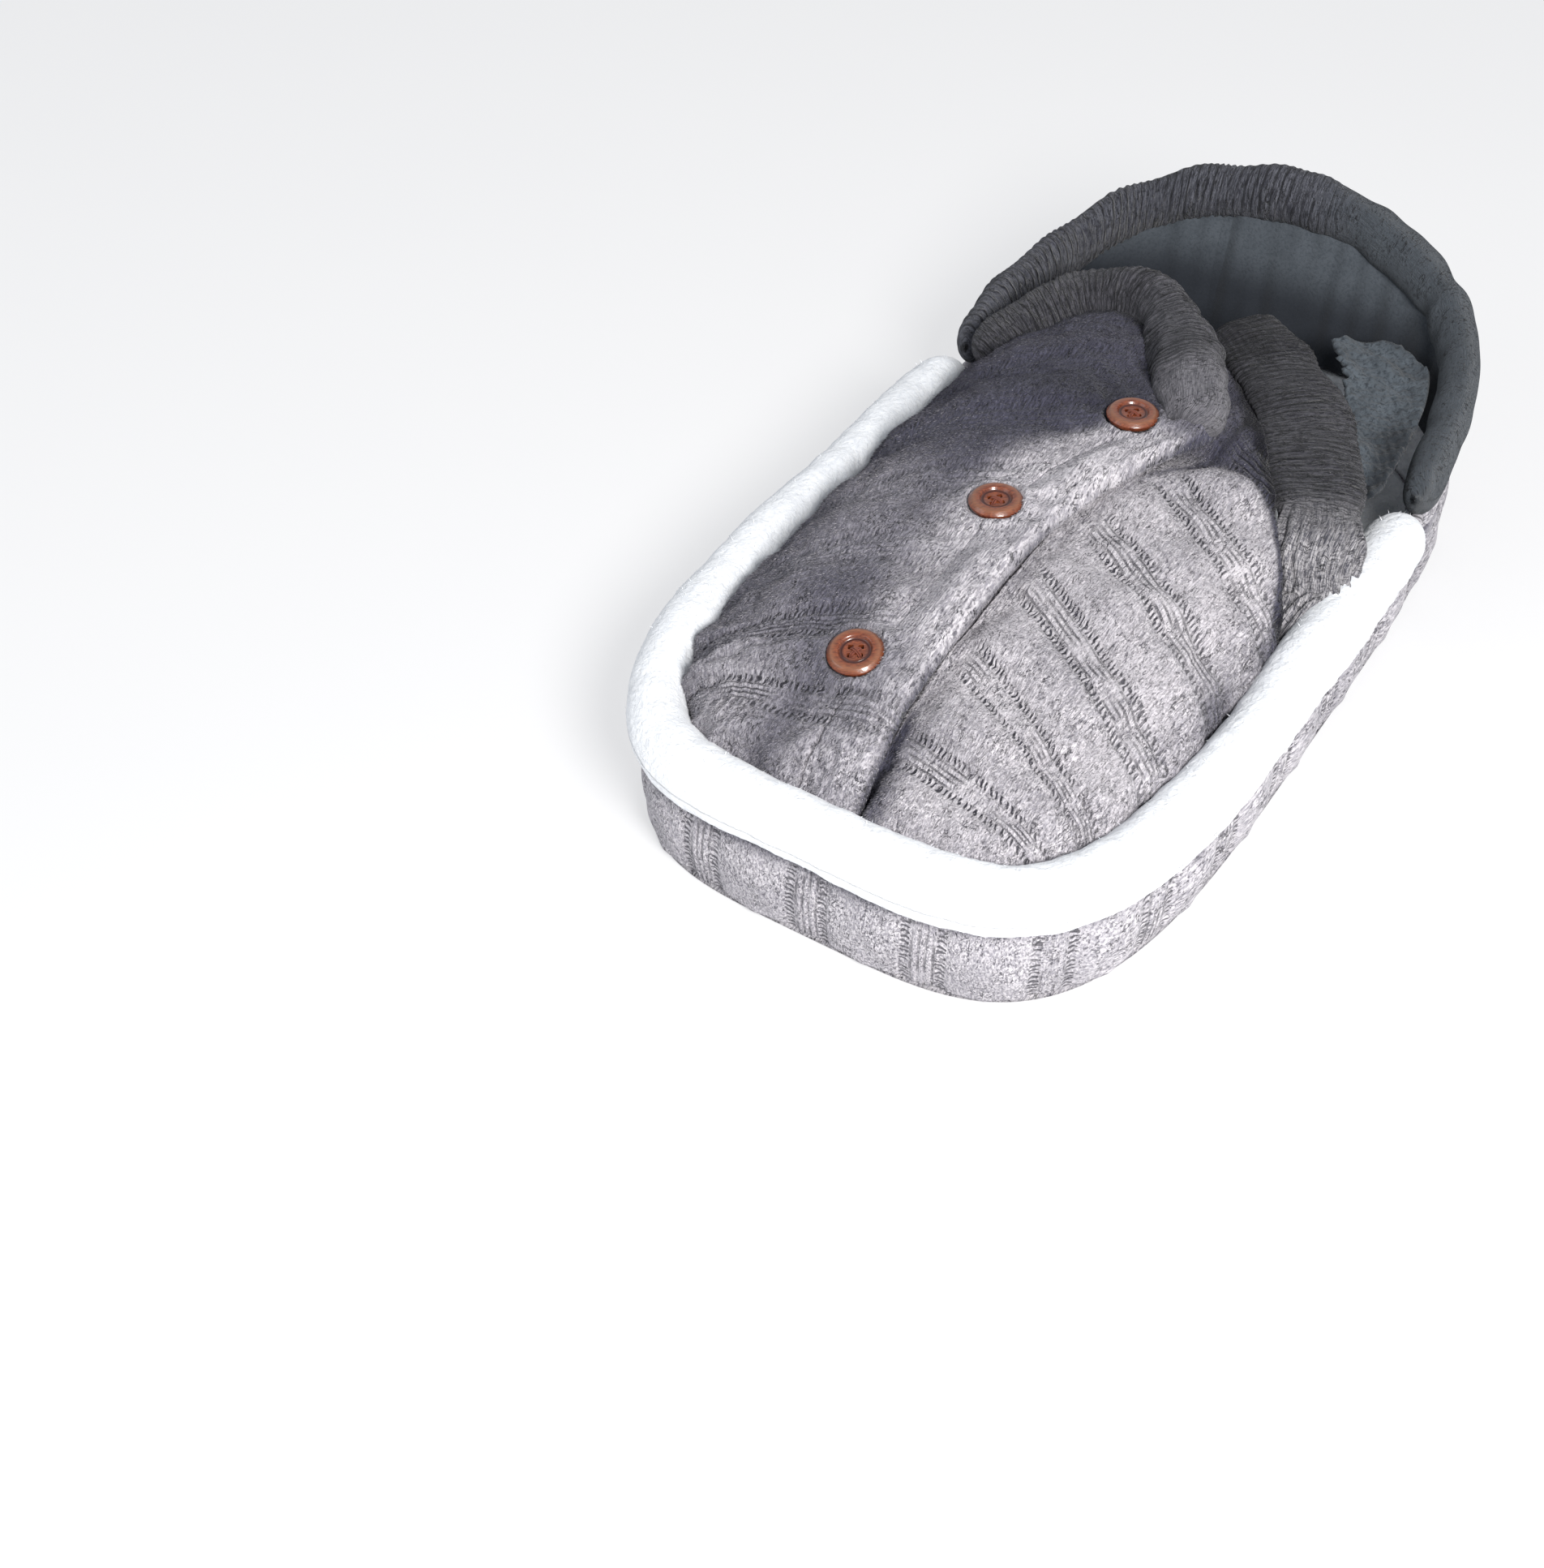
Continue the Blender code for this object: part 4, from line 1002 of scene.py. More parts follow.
def left_front_knit(sheet, edge_gap):
    """The cable's strength and its braid's height, where it shows, where no button lies, and the painted
    light and shade.
    """
    x, y = plan(sheet)
    depth = panel_edge(LEFT, y) - x
    strength = mixed(0.35, 0.95, smooth((-0.20 - y) / 0.06)) * smooth((0.335 + y) / 0.03)
    strength = strength * mixed(smooth(depth / 0.014), 1, smooth((-0.215 - y) / 0.03))
    braid = mixed(0.0007, 0.0056, smooth((-0.225 - y) / 0.06))
    # Painted shade: the left flap darker all over, darkest towards the neck and a little lighter at the foot,
    # and beside the placket blended into the placket's painted light and shade.
    tone_and_shading = mixed(-0.74, -1.02, smooth((y + 0.11) / 0.15)) + 0.22 * smooth((-0.26 - y) / 0.04)
    tone_and_shading = mixed(tone_and_shading, placket_tone_and_shading(sheet), smooth(1 - depth / 0.060) ** 1.5)
    tone_and_shading = tone_and_shading + 0.05 * ripple(sheet, 0.10, 5) + 0.05 * bell(edge_gap - 0.045, 0.03) * smooth(-y / 0.1)
    # Painted light on the foot lobes with painted shade between them, and painted shade in the crease along
    # the neck edge under the collar roll.
    tone_and_shading = tone_and_shading + LOBE_SHADING * foot_lobes(x, y) - 0.9 * bell(travel(sheet, 0) - 0.004, 0.009)
    # Painted shade in the hollow under the end of the collar roll, and a lighter patch lower down.
    tone_and_shading = tone_and_shading + spots(x, y, (-0.55, -0.025, 0.080, 0.060, 0.040), (0.14, -0.10, -0.13, 0.05, 0.06))
    clear = button_clear(x, y)
    return strength, braid, clear, clear, tone_and_shading


def right_front_knit(sheet, edge_gap):
    """The same for the right flap, whose cable ends beside the placket."""
    x, y = plan(sheet)
    seam = x - placket_edge(y)
    strength = mixed(0.75, 1.0, smooth(edge_gap / 0.10))
    # Painted light and shade: the flap lighter overall, with painted shade along the rim where the flap dips
    # to it, at the neck beside the collar band, beside the placket's edge and towards the foot.
    rim_shade = -0.9 * bell(np.minimum(edge_gap, 0.2), 0.021) * smooth((0.30 + y) / 0.1)
    neck = -1.25 * smooth(y / 0.09) * smooth((0.155 - x) / 0.05)
    neck = neck - 0.9 * bell(travel(sheet, 0), 0.022) - 1.1 * bell(travel(sheet, 0), 0.013)
    placket_edge_shade = -0.7 * bell(seam - 0.002, 0.004) - 0.6 * bell(seam - 0.012, 0.018) * smooth((-0.25 - y) / 0.04)
    tone_and_shading = 0.46 + 0.20 * ripple(sheet, 0.09, 4) + rim_shade + neck + placket_edge_shade - 0.35 * smooth((-0.25 - y) / 0.05)
    return strength, 0.0009, smooth(seam / 0.02), 1, tone_and_shading


def add_front(flap, word):
    flipped = flap is RIGHT
    sheet = front_grid(flap, CLOTH_STEP)
    x, y = plan(sheet)
    run, gap, half = stripe_fields(x, y)
    knit_of_flap = right_front_knit if flipped else left_front_knit
    strength, braid, shown, clear, tone_and_shading = knit_of_flap(sheet, FRONT_HALF_WIDTH - np.abs(x))
    relief = knit_relief(run, gap, half, strength, braid) * shown + worn_cloth(sheet, clear)
    relief = relief + front_folds(flap, x, y) + front_filling(flap, x.shape)
    if flap is LEFT:
        combed = COMB_HEIGHT * wave(gap / COMB_PITCH) * (0.5 + 0.5 * ripple(sheet, 0.05, 10))
        combed = combed * smooth((panel_edge(LEFT, y) - x) / 0.02)
        relief = relief + foot_lobes(x, y) + button_swell(x, y) + combed
    fields = {"ladder": stack(run, gap, strength * shown), "tone_and_shading": tone_and_shading}
    edges = (0.006, 0.005, 0.004, 0.0011)
    thing = pad(word + "_front_quilt", sheet, QUILT, edges, knit, relief, flip=flipped, fields=fields)
    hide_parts(word + "_front_knit", word + "_front_wadding")
    sheet = front_grid(flap, COARSE_STEP)
    sheet = sheet - normals_of(sheet) * (QUILT + 2 * PAD_GAP) * (-1 if flipped else 1)
    tuft = 0.0006 * ripple(sheet, 0.012, 9)
    lining = pad(word + "_front_lining", sheet, LINING, (0.002,) * 4, plush, back=tuft, flip=flipped)
    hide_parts(word + "_front_plush_lining")

    def density(centre, square):
        gap = stripe_fields(*plan(centre))[1]
        return (square[:, 2] > 0.05) * (1 - 0.9 * bell(gap - LADDER_REACH, 0.003) - 0.5 * (gap < CORD_REACH))

    fuzz = pile(word + "_front_fuzz", thing, FUZZ_COUNT, *FUZZ_SIZE, FUZZ_LEAN, 90, density)
    for thing in (thing, lining, fuzz):
        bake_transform(thing)


add_front(LEFT, "left")
add_front(RIGHT, "right")


# Placket bands


def add_left_placket():
    along, across = lattice(*PLACKET_CLOTH, CLOTH_STEP)
    y = mixed(LEFT_NECK_EDGE_Y, -FRONT_HALF_LENGTH, np.sin(math.pi / 2 * along))
    flare = 0.005 * smooth((-0.27 - y) / 0.07)
    x = placket_edge(y) - (PLACKET_WIDTH + PLACKET_OVERLAP) * (1 - across) + flare * across
    sheet = stack(x, y, front_height(LEFT, x, y))
    clear = button_clear(x, y)
    dome = 0.0034 * arch(across) ** 0.7
    rolled = 0.0028 * bell(across - 0.88, 0.11)
    pull = 0.0012 * ripple(sheet, 0.045, 11) + 0.0006 * ripple(sheet, 0.015, 12)
    lip = 0.0075 * bell(y + 0.012, 0.036) + 0.003 * bell(y + 0.165, 0.05)
    lip = lip * arch(across**0.7) ** 0.6
    neck = 0.005 * smooth((y - 0.035) / 0.045) * np.sin(math.pi / 2 * across)
    relief = (dome + lip + pull) * clear + rolled + neck
    relief = mixed(worn_cloth(sheet, clear) + front_folds(LEFT, x, y), relief, smooth(across / 0.55))
    run, gap, half = stripe_fields(x, y)
    strength = 0.6 * smooth((-0.225 - y) / 0.03) * smooth((0.325 + y) / 0.03) * clear
    ribs = 0.0005 * smooth((-0.245 - y) / 0.05) * wave(y / 0.0062)
    relief = relief + ribs + button_swell(x, y) + foot_lobes(x, y)
    relief = relief + knit_relief(run, gap, half, strength * 0.7, 0)
    # Painted light on the placket's half by its free edge below the middle button, painted shade right along
    # that edge, and the foot lobes' painted light and shade.
    lit = 0.28 * smooth((across - 0.35) / 0.45) * smooth((-0.10 - y) / 0.08)
    tone_and_shading = placket_tone_and_shading(sheet) + lit - 0.7 * bell(across - 1.02, 0.05) + LOBE_SHADING * foot_lobes(x, y)
    fields = {"tone_and_shading": tone_and_shading, "ladder": stack(run, gap, strength)}
    edges = (0.006, 0.005, 0.0011, 0.0065)
    thing = pad("left_placket", sheet, FRONT_THICKNESS, edges, knit, relief, fields=fields)
    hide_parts("left_placket_band")
    fuzz = pile("left_placket_fuzz", thing, FUZZ_COUNT // 4, *FUZZ_SIZE, FUZZ_LEAN, 92)
    for thing in (thing, fuzz):
        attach(thing, "left_front")


def add_right_placket():
    along, across = lattice(*UNDERLAP_CLOTH, COARSE_STEP)
    y = mixed(UNDERLAP_NECK_Y, -UNDERLAP_FOOT_SHARE * FRONT_HALF_LENGTH, np.sin(math.pi / 2 * along))
    x = UNDERLAP_EDGE_X - UNDERLAP_WIDTH * (1 - across)
    inwards = front_normal(LEFT, x, y, False) * (FLAP_STEP + UNDERLAP_DIP)
    inwards[..., 0] = 0
    sheet = stack(x, y, front_height(LEFT, x, y, False)) - inwards
    thing = pad("right_placket", sheet, FRONT_THICKNESS, (0.005, 0.005, 0.005, 0.002), knit)
    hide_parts("right_placket_band")
    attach(thing, "right_front")


add_left_placket()
add_right_placket()


# Fields on rolls


def round_ripple(run, turn, radius, size, seed):
    """An uneven field on a roll of this radius."""
    return ripple((run, radius * np.cos(turn), radius * np.sin(turn)), size, seed)


def streaks(run, turn, size, seed):
    """An uneven field of thin streaks along a roll."""
    return ripple((run, np.cos(turn), 0), size, seed)


# Collar


def neck_path(flap, first, last, offset, lift):
    """A line beside the neck edge of a flap, this far outwards and up."""
    across = np.linspace(first, last, NECK_STEPS + 1)
    edge = front_point(flap, 0 * across, across)
    square = front_normal(flap, *plan(edge))
    outwards = unit(np.cross(square, np.gradient(edge, axis=0))) * -flap["side"]
    return edge + outwards * np.reshape(offset, (-1, 1)) + square * lift


def add_left_collar():
    path = neck_path(LEFT, ROLL_START_SHARE, 1, ROLL_RADIUS - ROLL_TUCK - 0.002, ROLL_LIFT - 0.006)
    tail = path[-1] + [(0, 0, 0), (0.008, -0.009, -0.002), (0.013, -0.020, -0.006)]
    path = even_path(np.concatenate((path[:-6:6], tail)), CLOTH_STEP)
    run, share, turn = tube_grid(path, ROLL_SIDES)
    radius = ROLL_RADIUS * mixed(0.88, 1.15, np.sqrt(arch(np.clip(share * 0.86 + 0.05, 0, 1))))
    radius = radius * (1 + 0.20 * bell(share - 0.78, 0.15)) * closing(run, 0.026)
    plain = smooth((share - 0.76) / 0.16)
    creases = round_ripple(run, turn, ROLL_RADIUS, 0.05, 21)
    lumps = round_ripple(run, turn, ROLL_RADIUS, 0.016, 22)
    ribs = wave(run / RIB_PITCH + 0.35 * np.sin(turn + run / 0.05)) * (0.6 + 0.4 * creases)
    bend = bell(share - 0.72, 0.10) * smooth(-np.cos(turn)) * (0.5 + 0.5 * wave(run / 0.017))
    relief = 0.0009 * (1 - plain) * ribs + 0.0020 * creases + 0.0008 * lumps - 0.0055 * bend
    # Painted light and shade: the roll lighter on top and darker underneath, and darker towards its start;
    # uneven streaks along it.
    tone_and_shading = 0.25 * np.sin(turn) + 0.2 * streaks(run, turn, 0.08, 23) - 0.35 * smooth((0.35 - share) / 0.2)
    fields = {"tone_and_shading": tone_and_shading, "plain": plain}
    thing = tube("left_collar_roll", path, radius, radius, turn, knit_rib_in_shade, relief, fields)
    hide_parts("left_collar_cover", "left_collar_wadding")
    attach(thing, "left_front")


def add_right_collar():
    along = np.linspace(0, 1, NECK_STEPS + 1)
    half_width = BAND_HALF_WIDTH * mixed(0.7, 1, arch(along))
    path = neck_path(RIGHT, BAND_START_SHARE, BAND_STOP_SHARE, half_width + 0.0060, -0.001)
    head = path[-1] + [(-0.022, 0.020, 0.003), (-0.048, 0.034, 0.001)]
    foot = path[0] + [(-0.012, -0.040, -0.040), (-0.005, -0.022, -0.014)]
    path[:, 2] -= 0.011 * smooth((0.22 - along) / 0.22)
    path = even_path(np.concatenate((foot, path[::6], head)), CLOTH_STEP)
    run, share, turn = tube_grid(path, BAND_SIDES)
    waist = 1 - 0.16 * bell(share - 0.34, 0.07) - 0.12 * smooth((0.25 - share) / 0.2)
    wide = (BAND_HALF_WIDTH + 0.0075) * mixed(0.88, 1, arch(share)) * waist * closing(run, 0.018)
    high = (BAND_HALF_THICKNESS + 0.004 * bell(share - 0.20, 0.10)) * closing(run, 0.018)
    gathered = smooth((0.40 - share) / 0.12)
    across = np.cos(turn) + 0.04 * np.sin(run / 0.006) + 0.05 * np.sin(run / 0.013)
    slow = ripple((run, 0.03 * across, 0.01 * np.sin(turn)), 0.045, 31)
    ribs = wave(run / BAND_RIB_PITCH + 0.25 * np.sin(3 * across + run / 0.03)) * (0.6 + 0.4 * slow)
    pleats = wave(across * 3.7 + 0.5 * share) + 0.6 * wave(across * 9.1)
    relief = 0.0009 * ribs * (1 - gathered) + 0.0022 * pleats * gathered + 0.0014 * slow
    # Uneven streaks along the band; painted shade darkens it towards both ends, down at the rim and up at the
    # head.
    tone_and_shading = 0.2 * streaks(run, turn, 0.07, 33)
    tone_and_shading = tone_and_shading - 0.35 * smooth((0.14 - share) / 0.1) - 0.55 * smooth((share - 0.70) / 0.18)
    fields = {"tone_and_shading": tone_and_shading, "plain": smooth((0.42 - share) / 0.16)}
    thing = tube("right_collar_band", path, wide, high, turn, knit_band_in_shade, relief, fields)
    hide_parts("right_collar_cover", "right_collar_wadding")
    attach(thing, "right_front")


add_left_collar()
add_right_collar()


# Back, side wall and rim


def disc(name, outwards, bottom, thickness, material, seed, quilt=0):
    """A flat padded piece with the bag's outline, sunk this deep along the lines of its quilting."""
    share, around = lattice(RING_HALF_WIDTH, BAG_GIRTH, COARSE_STEP)
    share = share[:, :-1] * 0.999 + 0.001
    sheet = ring_point(math.tau * around[:, :-1], outwards) * share[..., None]
    sheet[..., 2] = bottom + thickness
    gap = (1 - share) * RING_HALF_WIDTH
    full = np.sqrt(1 - (1 - np.clip(gap / thickness, 0, 1)) ** 2)
    tufts = np.abs(arch(sheet[..., 0] / QUILT_PITCH) * arch(sheet[..., 1] / QUILT_PITCH))
    lump = 0.12 * thickness * ripple(sheet, 0.03, seed)
    top, low = sheet.copy(), sheet.copy()
    top[..., 2] = bottom + thickness / 2 + (thickness / 2 + quilt * (np.sqrt(tufts) - 1) + lump) * full
    low[..., 2] = bottom + thickness / 2 - thickness / 2 * full
    numbers = numbered(sheet)
    under = numbers.copy()
    under[:-1] += numbers.size
    faces = [*grid_faces(numbers, around=True), *grid_faces(under, around=True)[:, ::-1]]
    faces += [numbers[0], under[0][::-1]]
    points = np.concatenate((top.reshape(-1, 3), low[:-1].reshape(-1, 3)))
    tags = np.concatenate((sheet.reshape(-1, 3), sheet[:-1].reshape(-1, 3)))
    return make_object(name, points, faces, material, {"cloth": tags})


def wall_grid(outwards, top, step):
    around, up = lattice(BAG_GIRTH, WALL_HEIGHT, step)
    around, up = around[:-1].T, up[:-1].T
    bulge = WALL_BULGE * arch(up)
    return ring_point(math.tau * around, outwards + bulge, mixed(SIDE_WALL_FOOT, top, up)), up


def upright_knit(sheet, gap, half, seed):
    """The relief, and the fields for its material, of cable knit with upright stripes."""
    run = sheet[..., 2]
    relief = knit_relief(run, gap, half, SIDE_STRENGTH, SIDE_BRAID)
    tone_and_shading = -0.15 + 0.12 * ripple(sheet, 0.08, seed)
    return relief, {"ladder": stack(run, gap, SIDE_STRENGTH), "tone_and_shading": tone_and_shading}


def add_back():
    panel = disc("back_cloth", WALL_THICKNESS / 2 + WALL_BULGE * 0.3, 0, KNIT, knit, 41)
    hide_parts("back_knit_panel")
    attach(panel, "shell")
    inner = -WALL_THICKNESS / 2 - PAD_GAP
    base = disc("back_pad", inner, KNIT + PAD_GAP, BASE_WADDING + LINING, plush, 42, quilt=0.003)
    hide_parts("back_wadding", "back_plush_lining")
    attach(base, "shell")


def add_wall():
    sheet, up = wall_grid(WALL_THICKNESS / 2, WALL_HEIGHT + 0.002, WALL_STEP)
    walked = travel(np.concatenate((sheet, sheet[:, :1]), axis=1), 1)
    phase = walked[:, :-1] / walked[:, -1:] * WALL_STRIPES
    pitch = walked[:, -1].mean() / WALL_STRIPES
    relief, fields = upright_knit(sheet, np.abs(phase - np.round(phase)) * pitch, pitch / 2, 44)
    # Painted shade: the wall darker just under the rim.
    fields["tone_and_shading"] -= 0.5 * bell(up - 1, 0.12)
    way_round = {"around": True, "flip": True}
    edges = (0.002, 0.002)
    thing = pad("side_wall_cloth", sheet, SIDE_WALL_CLOTH, edges, knit, relief, fields=fields, **way_round)
    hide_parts("side_wall_knit")
    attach(thing, "shell")
    sheet = wall_grid(WALL_THICKNESS / 2 - KNIT - 2 * PAD_GAP, WALL_HEIGHT, COARSE_STEP)[0]
    tuft = 0.0008 * ripple(sheet, 0.016, 45)
    thickness = WALL_THICKNESS - KNIT - 3 * PAD_GAP
    thing = pad("side_wall_lining", sheet, thickness, (0.004,) * 2, plush, back=tuft, **way_round)
    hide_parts("side_wall_wadding", "side_wall_plush_lining")
    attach(thing, "shell")


def add_rim():
    head = outline_angle(RIM_HEAD_Y, RING_HALF_LENGTH)
    angle = np.linspace(math.pi - head, math.tau + head, 200)
    path = even_path(ring_point(angle, 0, RIM_CENTRE_Z), RIM_STEP)
    run, _, turn = tube_grid(path, RIM_SIDES)
    radius = RIM_THICKNESS / 2 * closing(run, 0.034)
    swells = ((0.0013, 0.13, 51), (0.0004, 0.030, 52), (0.0002, 0.007, 53))
    relief = sum(high * round_ripple(run, turn, RIM_THICKNESS / 2, size, seed) for high, size, seed in swells)
    thing = tube("plush_rim", path, radius, radius, turn, plush, relief)
    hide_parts("plush_rim_cover", "plush_rim_wadding")
    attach(thing, "shell")

    def inner_left(centre, square):
        inwards = -(unit(centre[:, :2]) * square[:, :2]).sum(1)
        return (inwards > 0.2) * (square[:, 2] > -0.1) * smooth((-0.06 - centre[:, 0]) / 0.10)

    fuzz = pile("plush_rim_pile", thing, FUZZ_COUNT, 0.0042, 0.0006, (0, 0, 0.3), 91)
    fringe = pile("plush_rim_fringe", thing, FUZZ_COUNT // 5, 0.010, 0.0007, (0.9, -0.3, 0.1), 93, inner_left)
    for hair in (fuzz, fringe):
        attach(hair, "shell")


add_back()
add_wall()
add_rim()


# Hood and lapel


def hood_grid(step, outwards, top):
    along, up = lattice(*HOOD_CLOTH, step)
    lean = HOOD_LEAN * arch(along) * up
    height = mixed(WALL_HEIGHT + PAD_GAP, hood_top(along) - top, up)
    return ring_point(hood_angle(along), outwards + lean, height), along, up


def add_hood():
    top = HOOD_BAND_HEIGHT + 0.0008
    sheet = hood_grid(HOOD_STEP, WALL_THICKNESS / 2, top)[0]
    phase = travel(sheet, 0) / STRIPE_PITCH
    gap = np.abs(phase - np.round(phase)) * STRIPE_PITCH
    relief, fields = upright_knit(sheet, gap, STRIPE_PITCH / 2, 61)
    edges = (0.0015, 0.003, 0.003, 0.003)
    thing = pad("hood_quilt", sheet, KNIT + HOOD_QUILT_EXTRA, edges, knit, relief, fields=fields)
    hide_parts("hood_knit", "hood_wadding")
    sheet, along, up = hood_grid(HOOD_LINING_STEP, WALL_THICKNESS / 2 - 0.0115, top - 0.012)
    folds = 0.0016 * ripple((along * 0.9, up * 0.02, 0), 0.05, 62)
    # Painted shade: the lining darker low down, next to the collar.
    fields = {"tone_and_shading": -0.8 * smooth((0.168 - sheet[..., 2]) / 0.06)}
    lining = pad("hood_lining", sheet, LINING, (0.002,) * 4, smooth_fleece_in_shade, back=folds, fields=fields)
    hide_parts("hood_plush_lining")
    for piece in (thing, lining):
        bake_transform(piece)


def add_hood_band():
    along = np.linspace(-HOOD_TIP_SHARE, 1 + HOOD_TIP_SHARE, 240)
    held = np.clip(along, 0, 1)
    path = ring_point(hood_angle(along), HOOD_LEAN * arch(held), hood_top(held) - HOOD_BAND_HEIGHT / 2)
    path = even_path(path, CLOTH_STEP)
    run, share, turn = tube_grid(path, ROLL_SIDES)
    close = closing(run, 0.024)
    ribbed = smooth((share - 0.42) / 0.16)
    slow = round_ripple(run, turn, 0.02, 0.07, 71)
    ribs = wave(run / HOOD_RIB_PITCH + 0.8 * slow) * (0.7 + 0.5 * round_ripple(run, turn, 0.02, 0.03, 74))
    folds = ripple((run, 0.004 * np.cos(turn), 0), 0.035, 72)
    relief = 0.0008 * ribs * ribbed + 0.0010 * folds * (1 - ribbed) + mixed(0.0013, 0.0022, ribbed) * slow
    # Lighter at the left tip; painted light and shade: lighter on top, darker underneath; uneven streaks
    # along it.
    tone_and_shading = 0.35 * smooth((share - 0.93) / 0.04) + 0.15 * np.sin(turn) + 0.15 * streaks(run, turn, 0.09, 73)
    fields = {"tone_and_shading": tone_and_shading, "plain": smooth((0.50 - share) / 0.10)}
    wide, high = HOOD_BAND_WIDTH / 2 * close, HOOD_BAND_HEIGHT / 2 * close
    thing = tube("hood_band", path, wide, high, turn, knit_hood_in_shade, relief, fields, upright=True)
    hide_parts("hood_band_cover", "hood_band_wadding")
    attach(thing, "hood")


def add_lapel():
    along, across = lattice(*LAPEL_CLOTH, LAPEL_STEP)
    y = mixed(LAPEL_FOOT_Y - 0.022, LAPEL_HEAD_Y, along)
    wall = ring_point(outline_angle(y, RING_HALF_LENGTH), -HOOD_BAND_WIDTH / 2 - 0.0036)
    reach = mixed(LAPEL_FOOT_REACH + 0.008, LAPEL_REACH + 0.004, along**0.85)
    y = y + 0.026 * arch(across) * along**3
    z = LAPEL_EDGE_HEIGHT - 0.5 * LAPEL_SAG * arch(across) + 0.004 * np.sin(3 * math.pi * along) * across
    ragged = 0.0024 * ripple((y, 0), 0.011, 83) + 0.0016 * ripple((y, 0), 0.028, 84)
    x = wall[..., 0] - reach * across + ragged * smooth((across - 0.8) / 0.2)
    y = y + 0.003 * ripple((x, 0), 0.02, 85) * smooth((0.12 - along) / 0.12)
    sheet = stack(x, y, z)
    folds = 0.0022 * ripple(sheet, 0.035, 81) + 0.0008 * ripple(sheet, 0.009, 82)
    # Painted shade: darker towards the foot end and away from the free edge, and darker next to the hood
    # wall.
    shade = 0.5 * smooth((0.75 - along) / 0.4) * smooth((1.0 - across) / 0.6)
    fields = {"tone_and_shading": -shade - 0.22 * smooth((0.6 - across) / 0.4)}
    edges = (0.0024,) * 4
    thing = pad("hood_lapel", sheet, LAPEL_THICKNESS, edges, fleece, folds, -folds, flip=True, fields=fields)
    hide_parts("hood_plush_lapel")
    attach(thing, "hood")


add_hood()
add_hood_band()
add_lapel()


# Buttons, thread and studs


def rounded_line(points, radius, steps=6):
    """A profile with its inner corners rounded."""
    points = [np.array(point, float) for point in points]
    line = [points[0]]
    for before, corner, after in zip(points, points[1:], points[2:]):
        back = min(radius, np.linalg.norm(corner - before) / 2)
        forth = min(radius, np.linalg.norm(after - corner) / 2)
        first = corner + unit(before - corner) * back
        last = corner + unit(after - corner) * forth
        for share in np.linspace(0, 1, steps + 1):
            line.append((1 - share) ** 2 * first + 2 * share * (1 - share) * corner + share**2 * last)
    return np.array([*line, points[-1]])


def closed_rings(numbers):
    """The faces between numbered rings of points, and one on each end."""
    return [*grid_faces(numbers, around=True)[:, ::-1], numbers[0][::-1], numbers[-1]]


def button_shape():
    """A dished wooden button with four holes."""
    radius, top = BUTTON_DIAMETER / 2, BUTTON_THICKNESS
    profile = (
        (0.0005, top - BUTTON_DISH),
        (radius * 0.36, top - BUTTON_DISH),
        (radius * 0.44, top - 0.0016),
        (radius * 0.47, top - 0.0022),
        (radius * 0.53, top - 0.0020),
        (radius * 0.60, top + 0.0004),
        (radius * 0.84, top + 0.0003),
        (radius * 1.0, top * 0.55),
        (radius * 0.93, 0),
        (0.0005, 0),
    )
    line = rounded_line(profile, 0.0011)
    turn = np.linspace(0, math.tau, BUTTON_SIDES, endpoint=False)
    rings = stack(line[:, :1] * np.cos(turn), line[:, :1] * np.sin(turn), line[:, 1:])
    solid = make_object("button_solid", rings.reshape(-1, 3), closed_rings(numbered(rings)), wood)
    turn = np.linspace(0, math.tau, HOLE_SIDES, endpoint=False)
    reach = HOLE_RADIUS / (np.abs(np.cos(turn)) ** 5 + np.abs(np.sin(turn)) ** 5) ** 0.2
    drills, faces = [], []
    for x in (-HOLE_HALF, HOLE_HALF):
        for y in (-HOLE_HALF, HOLE_HALF):
            rings = stack(x + reach * np.cos(turn), y + reach * np.sin(turn), [[-0.01], [0.01]])
            faces += closed_rings(numbered(rings, len(drills) * rings[..., 0].size))
            drills.append(rings.reshape(-1, 3))
    cutter = make_object("button_drill", np.concatenate(drills), faces, wood)
    cut = solid.modifiers.new("holes", "BOOLEAN")
    cut.operation = "DIFFERENCE"
    cut.solver = "EXACT"
    cut.object = cutter
    bpy.context.view_layer.update()
    ready = solid.evaluated_get(bpy.context.evaluated_depsgraph_get())
    mesh = bpy.data.meshes.new_from_object(ready)
    bpy.data.objects.remove(solid)
    bpy.data.objects.remove(cutter)
    mesh.set_sharp_from_angle(angle=math.radians(38))
    return mesh


def thread_shape():
    """Two double strands that cross between the holes, and dip into them."""
    share = np.linspace(0, 1, 17)
    reach = mixed(-HOLE_HALF, HOLE_HALF, share)
    turn = np.linspace(0, math.tau, 10, endpoint=False)[None, :, None]
    strands, faces = [], []
    for slant, lift in ((1, 0.0008), (-1, 0.0016)):
        height = BUTTON_THICKNESS - BUTTON_DISH - THREAD_DIP + (THREAD_DIP + lift) * arch(share) ** 0.35
        for shift in (-STRAND_SHIFT, STRAND_SHIFT):
            path = stack(reach - shift * slant, reach * slant + shift, height)
            ahead = unit(np.gradient(path, axis=0))
            side = unit(np.cross(ahead, (0, 0, 1)) + 1e-9)
            up = np.cross(side, ahead)
            rings = side[:, None] * np.cos(turn) + up[:, None] * np.sin(turn)
            rings = path[:, None] + rings * THREAD_RADIUS
            numbers = numbered(rings, len(strands) * rings[..., 0].size)
            faces += [*grid_faces(numbers, around=True)[:, ::-1], numbers[0], numbers[-1][::-1]]
            strands.append(rings.reshape(-1, 3))
    return np.concatenate(strands), faces


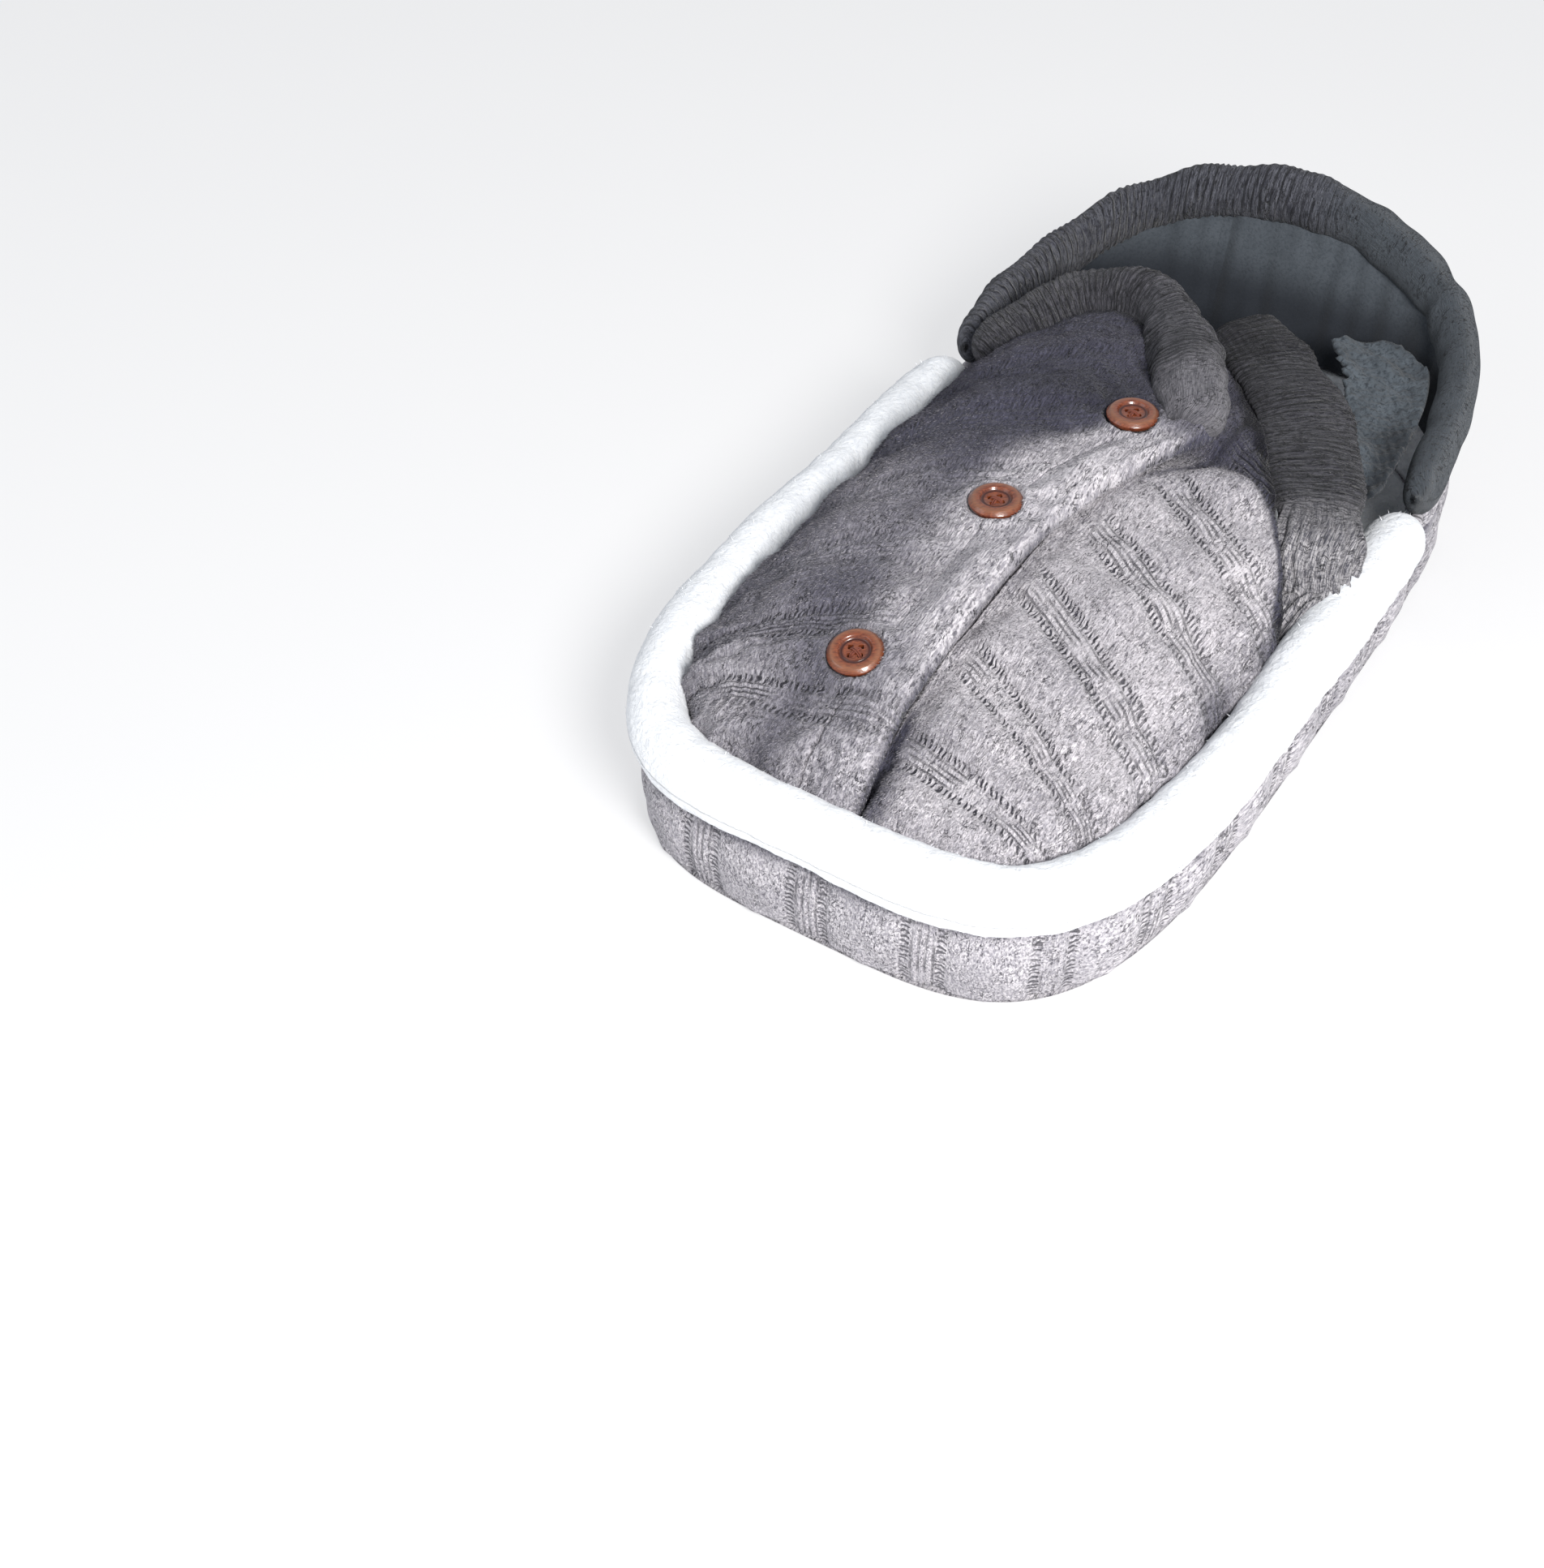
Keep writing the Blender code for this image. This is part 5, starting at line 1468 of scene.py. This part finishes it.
def add_buttons():
    button = button_shape()
    strands = thread_shape()
    joints = {joint["name"]: joint for joint in frame["joints"]}
    for number, word in enumerate(BUTTONS):
        joint = joints[word + "_button_twist"]
        turn = Vector(joint["axis"]).to_track_quat("Z", "Y").to_matrix().to_4x4()
        spin = Matrix.Rotation(0.5 + 0.9 * number, 4, "Z")
        seat = Matrix.Translation(Vector(joint["pos_m"])) @ turn @ spin
        mesh = button.copy()
        places = np.empty(len(mesh.vertices) * 3)
        mesh.vertices.foreach_get("co", places)
        places = places.reshape(-1, 3)
        out = np.hypot(places[:, 0], places[:, 1]) / (BUTTON_DIAMETER / 2)
        # The wood lighter tan on the raised rim, with painted shade in the groove inside the rim and on the
        # button's outer side.
        tone_and_shading = 0.8 * bell(out - 0.82, 0.13) - bell(out - 0.48, 0.07) - 0.6 * smooth((out - 0.95) / 0.05)
        set_fields(mesh, {"cloth": places + (0.05 * number, 0.11 * number, 0), "tone_and_shading": tone_and_shading})
        mesh.transform(seat)
        thing = add_object(word + "_wood_button", mesh)
        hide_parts(word + "_button")
        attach(thing, word + "_button")
        strand = make_object(word + "_cross_thread", *strands, thread)
        strand.data.transform(seat)
        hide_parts(word + "_button_thread")
        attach(strand, word + "_button")
        for part in ("_stud_socket", "_stud_ball"):
            stud = frame["nodes"][word + part]
            stud.data.materials.clear()
            stud.data.materials.append(metal)


add_buttons()


# Floor, light and camera


def add_stage():
    material, tree, shader = new_material("floor", 0.9)
    place = node(tree, "TexCoord", output="Object")
    connect(shader, blend_colour(noise(place, 3, 2), (0.86, 0.86, 0.87), (0.89, 0.89, 0.89)))
    glow = node(tree, "Emission", {"Color": (0.97, 0.97, 0.98, 1), "Strength": 1.0})
    seen = node(tree, "LightPath", output="Is Camera Ray") * 0.6
    both = node(tree, "MixShader", {0: seen, 1: NodeValue(tree, shader.outputs[0]), 2: glow})
    tree.links.new(both.socket, tree.nodes["Material Output"].inputs["Surface"])
    corners = [(x, y, FLOOR_Z) for x, y in ((-1, -1), (1, -1), (1, 1), (-1, 1))]
    floor = make_object("floor", np.array(corners) * (FLOOR_HALF, FLOOR_HALF, 1), [[0, 1, 2, 3]], material)


def add_lamp(name, place, size, power, colour):
    data = bpy.data.lights.new(name, "AREA")
    data.shape = "DISK"
    data.size = size
    data.energy = power
    data.color = colour
    lamp = add_object(name, data)
    lamp.location = place
    lamp.rotation_euler = (-Vector(place)).to_track_quat("-Z", "Y").to_euler()


def add_camera():
    data = bpy.data.cameras.new("camera")
    data.sensor_width = SENSOR_WIDTH
    data.lens = FOCAL_LENGTH * SENSOR_WIDTH / PHOTO_HEIGHT
    camera = add_object("camera", data)
    camera.location = CAMERA_PLACE
    camera.rotation_euler = (math.radians(90 - CAMERA_TILT), 0, math.radians(CAMERA_TURN))
    bpy.context.scene.camera = camera


def add_world():
    world = bpy.data.worlds.new("world")
    world.use_nodes = True
    background = world.node_tree.nodes["Background"]
    background.inputs["Color"].default_value = (0.93, 0.96, 1.0, 1)
    background.inputs["Strength"].default_value = 0.52
    bpy.context.scene.world = world


add_stage()
add_lamp("key", (1.30, -1.25, 1.45), 0.8, 60, (1.0, 0.985, 0.965))
add_lamp("fill", (-1.5, -1.6, 1.4), 1.6, 7, (0.90, 0.95, 1.0))
add_camera()
add_world()
bpy.context.scene.view_settings.view_transform = "Standard"
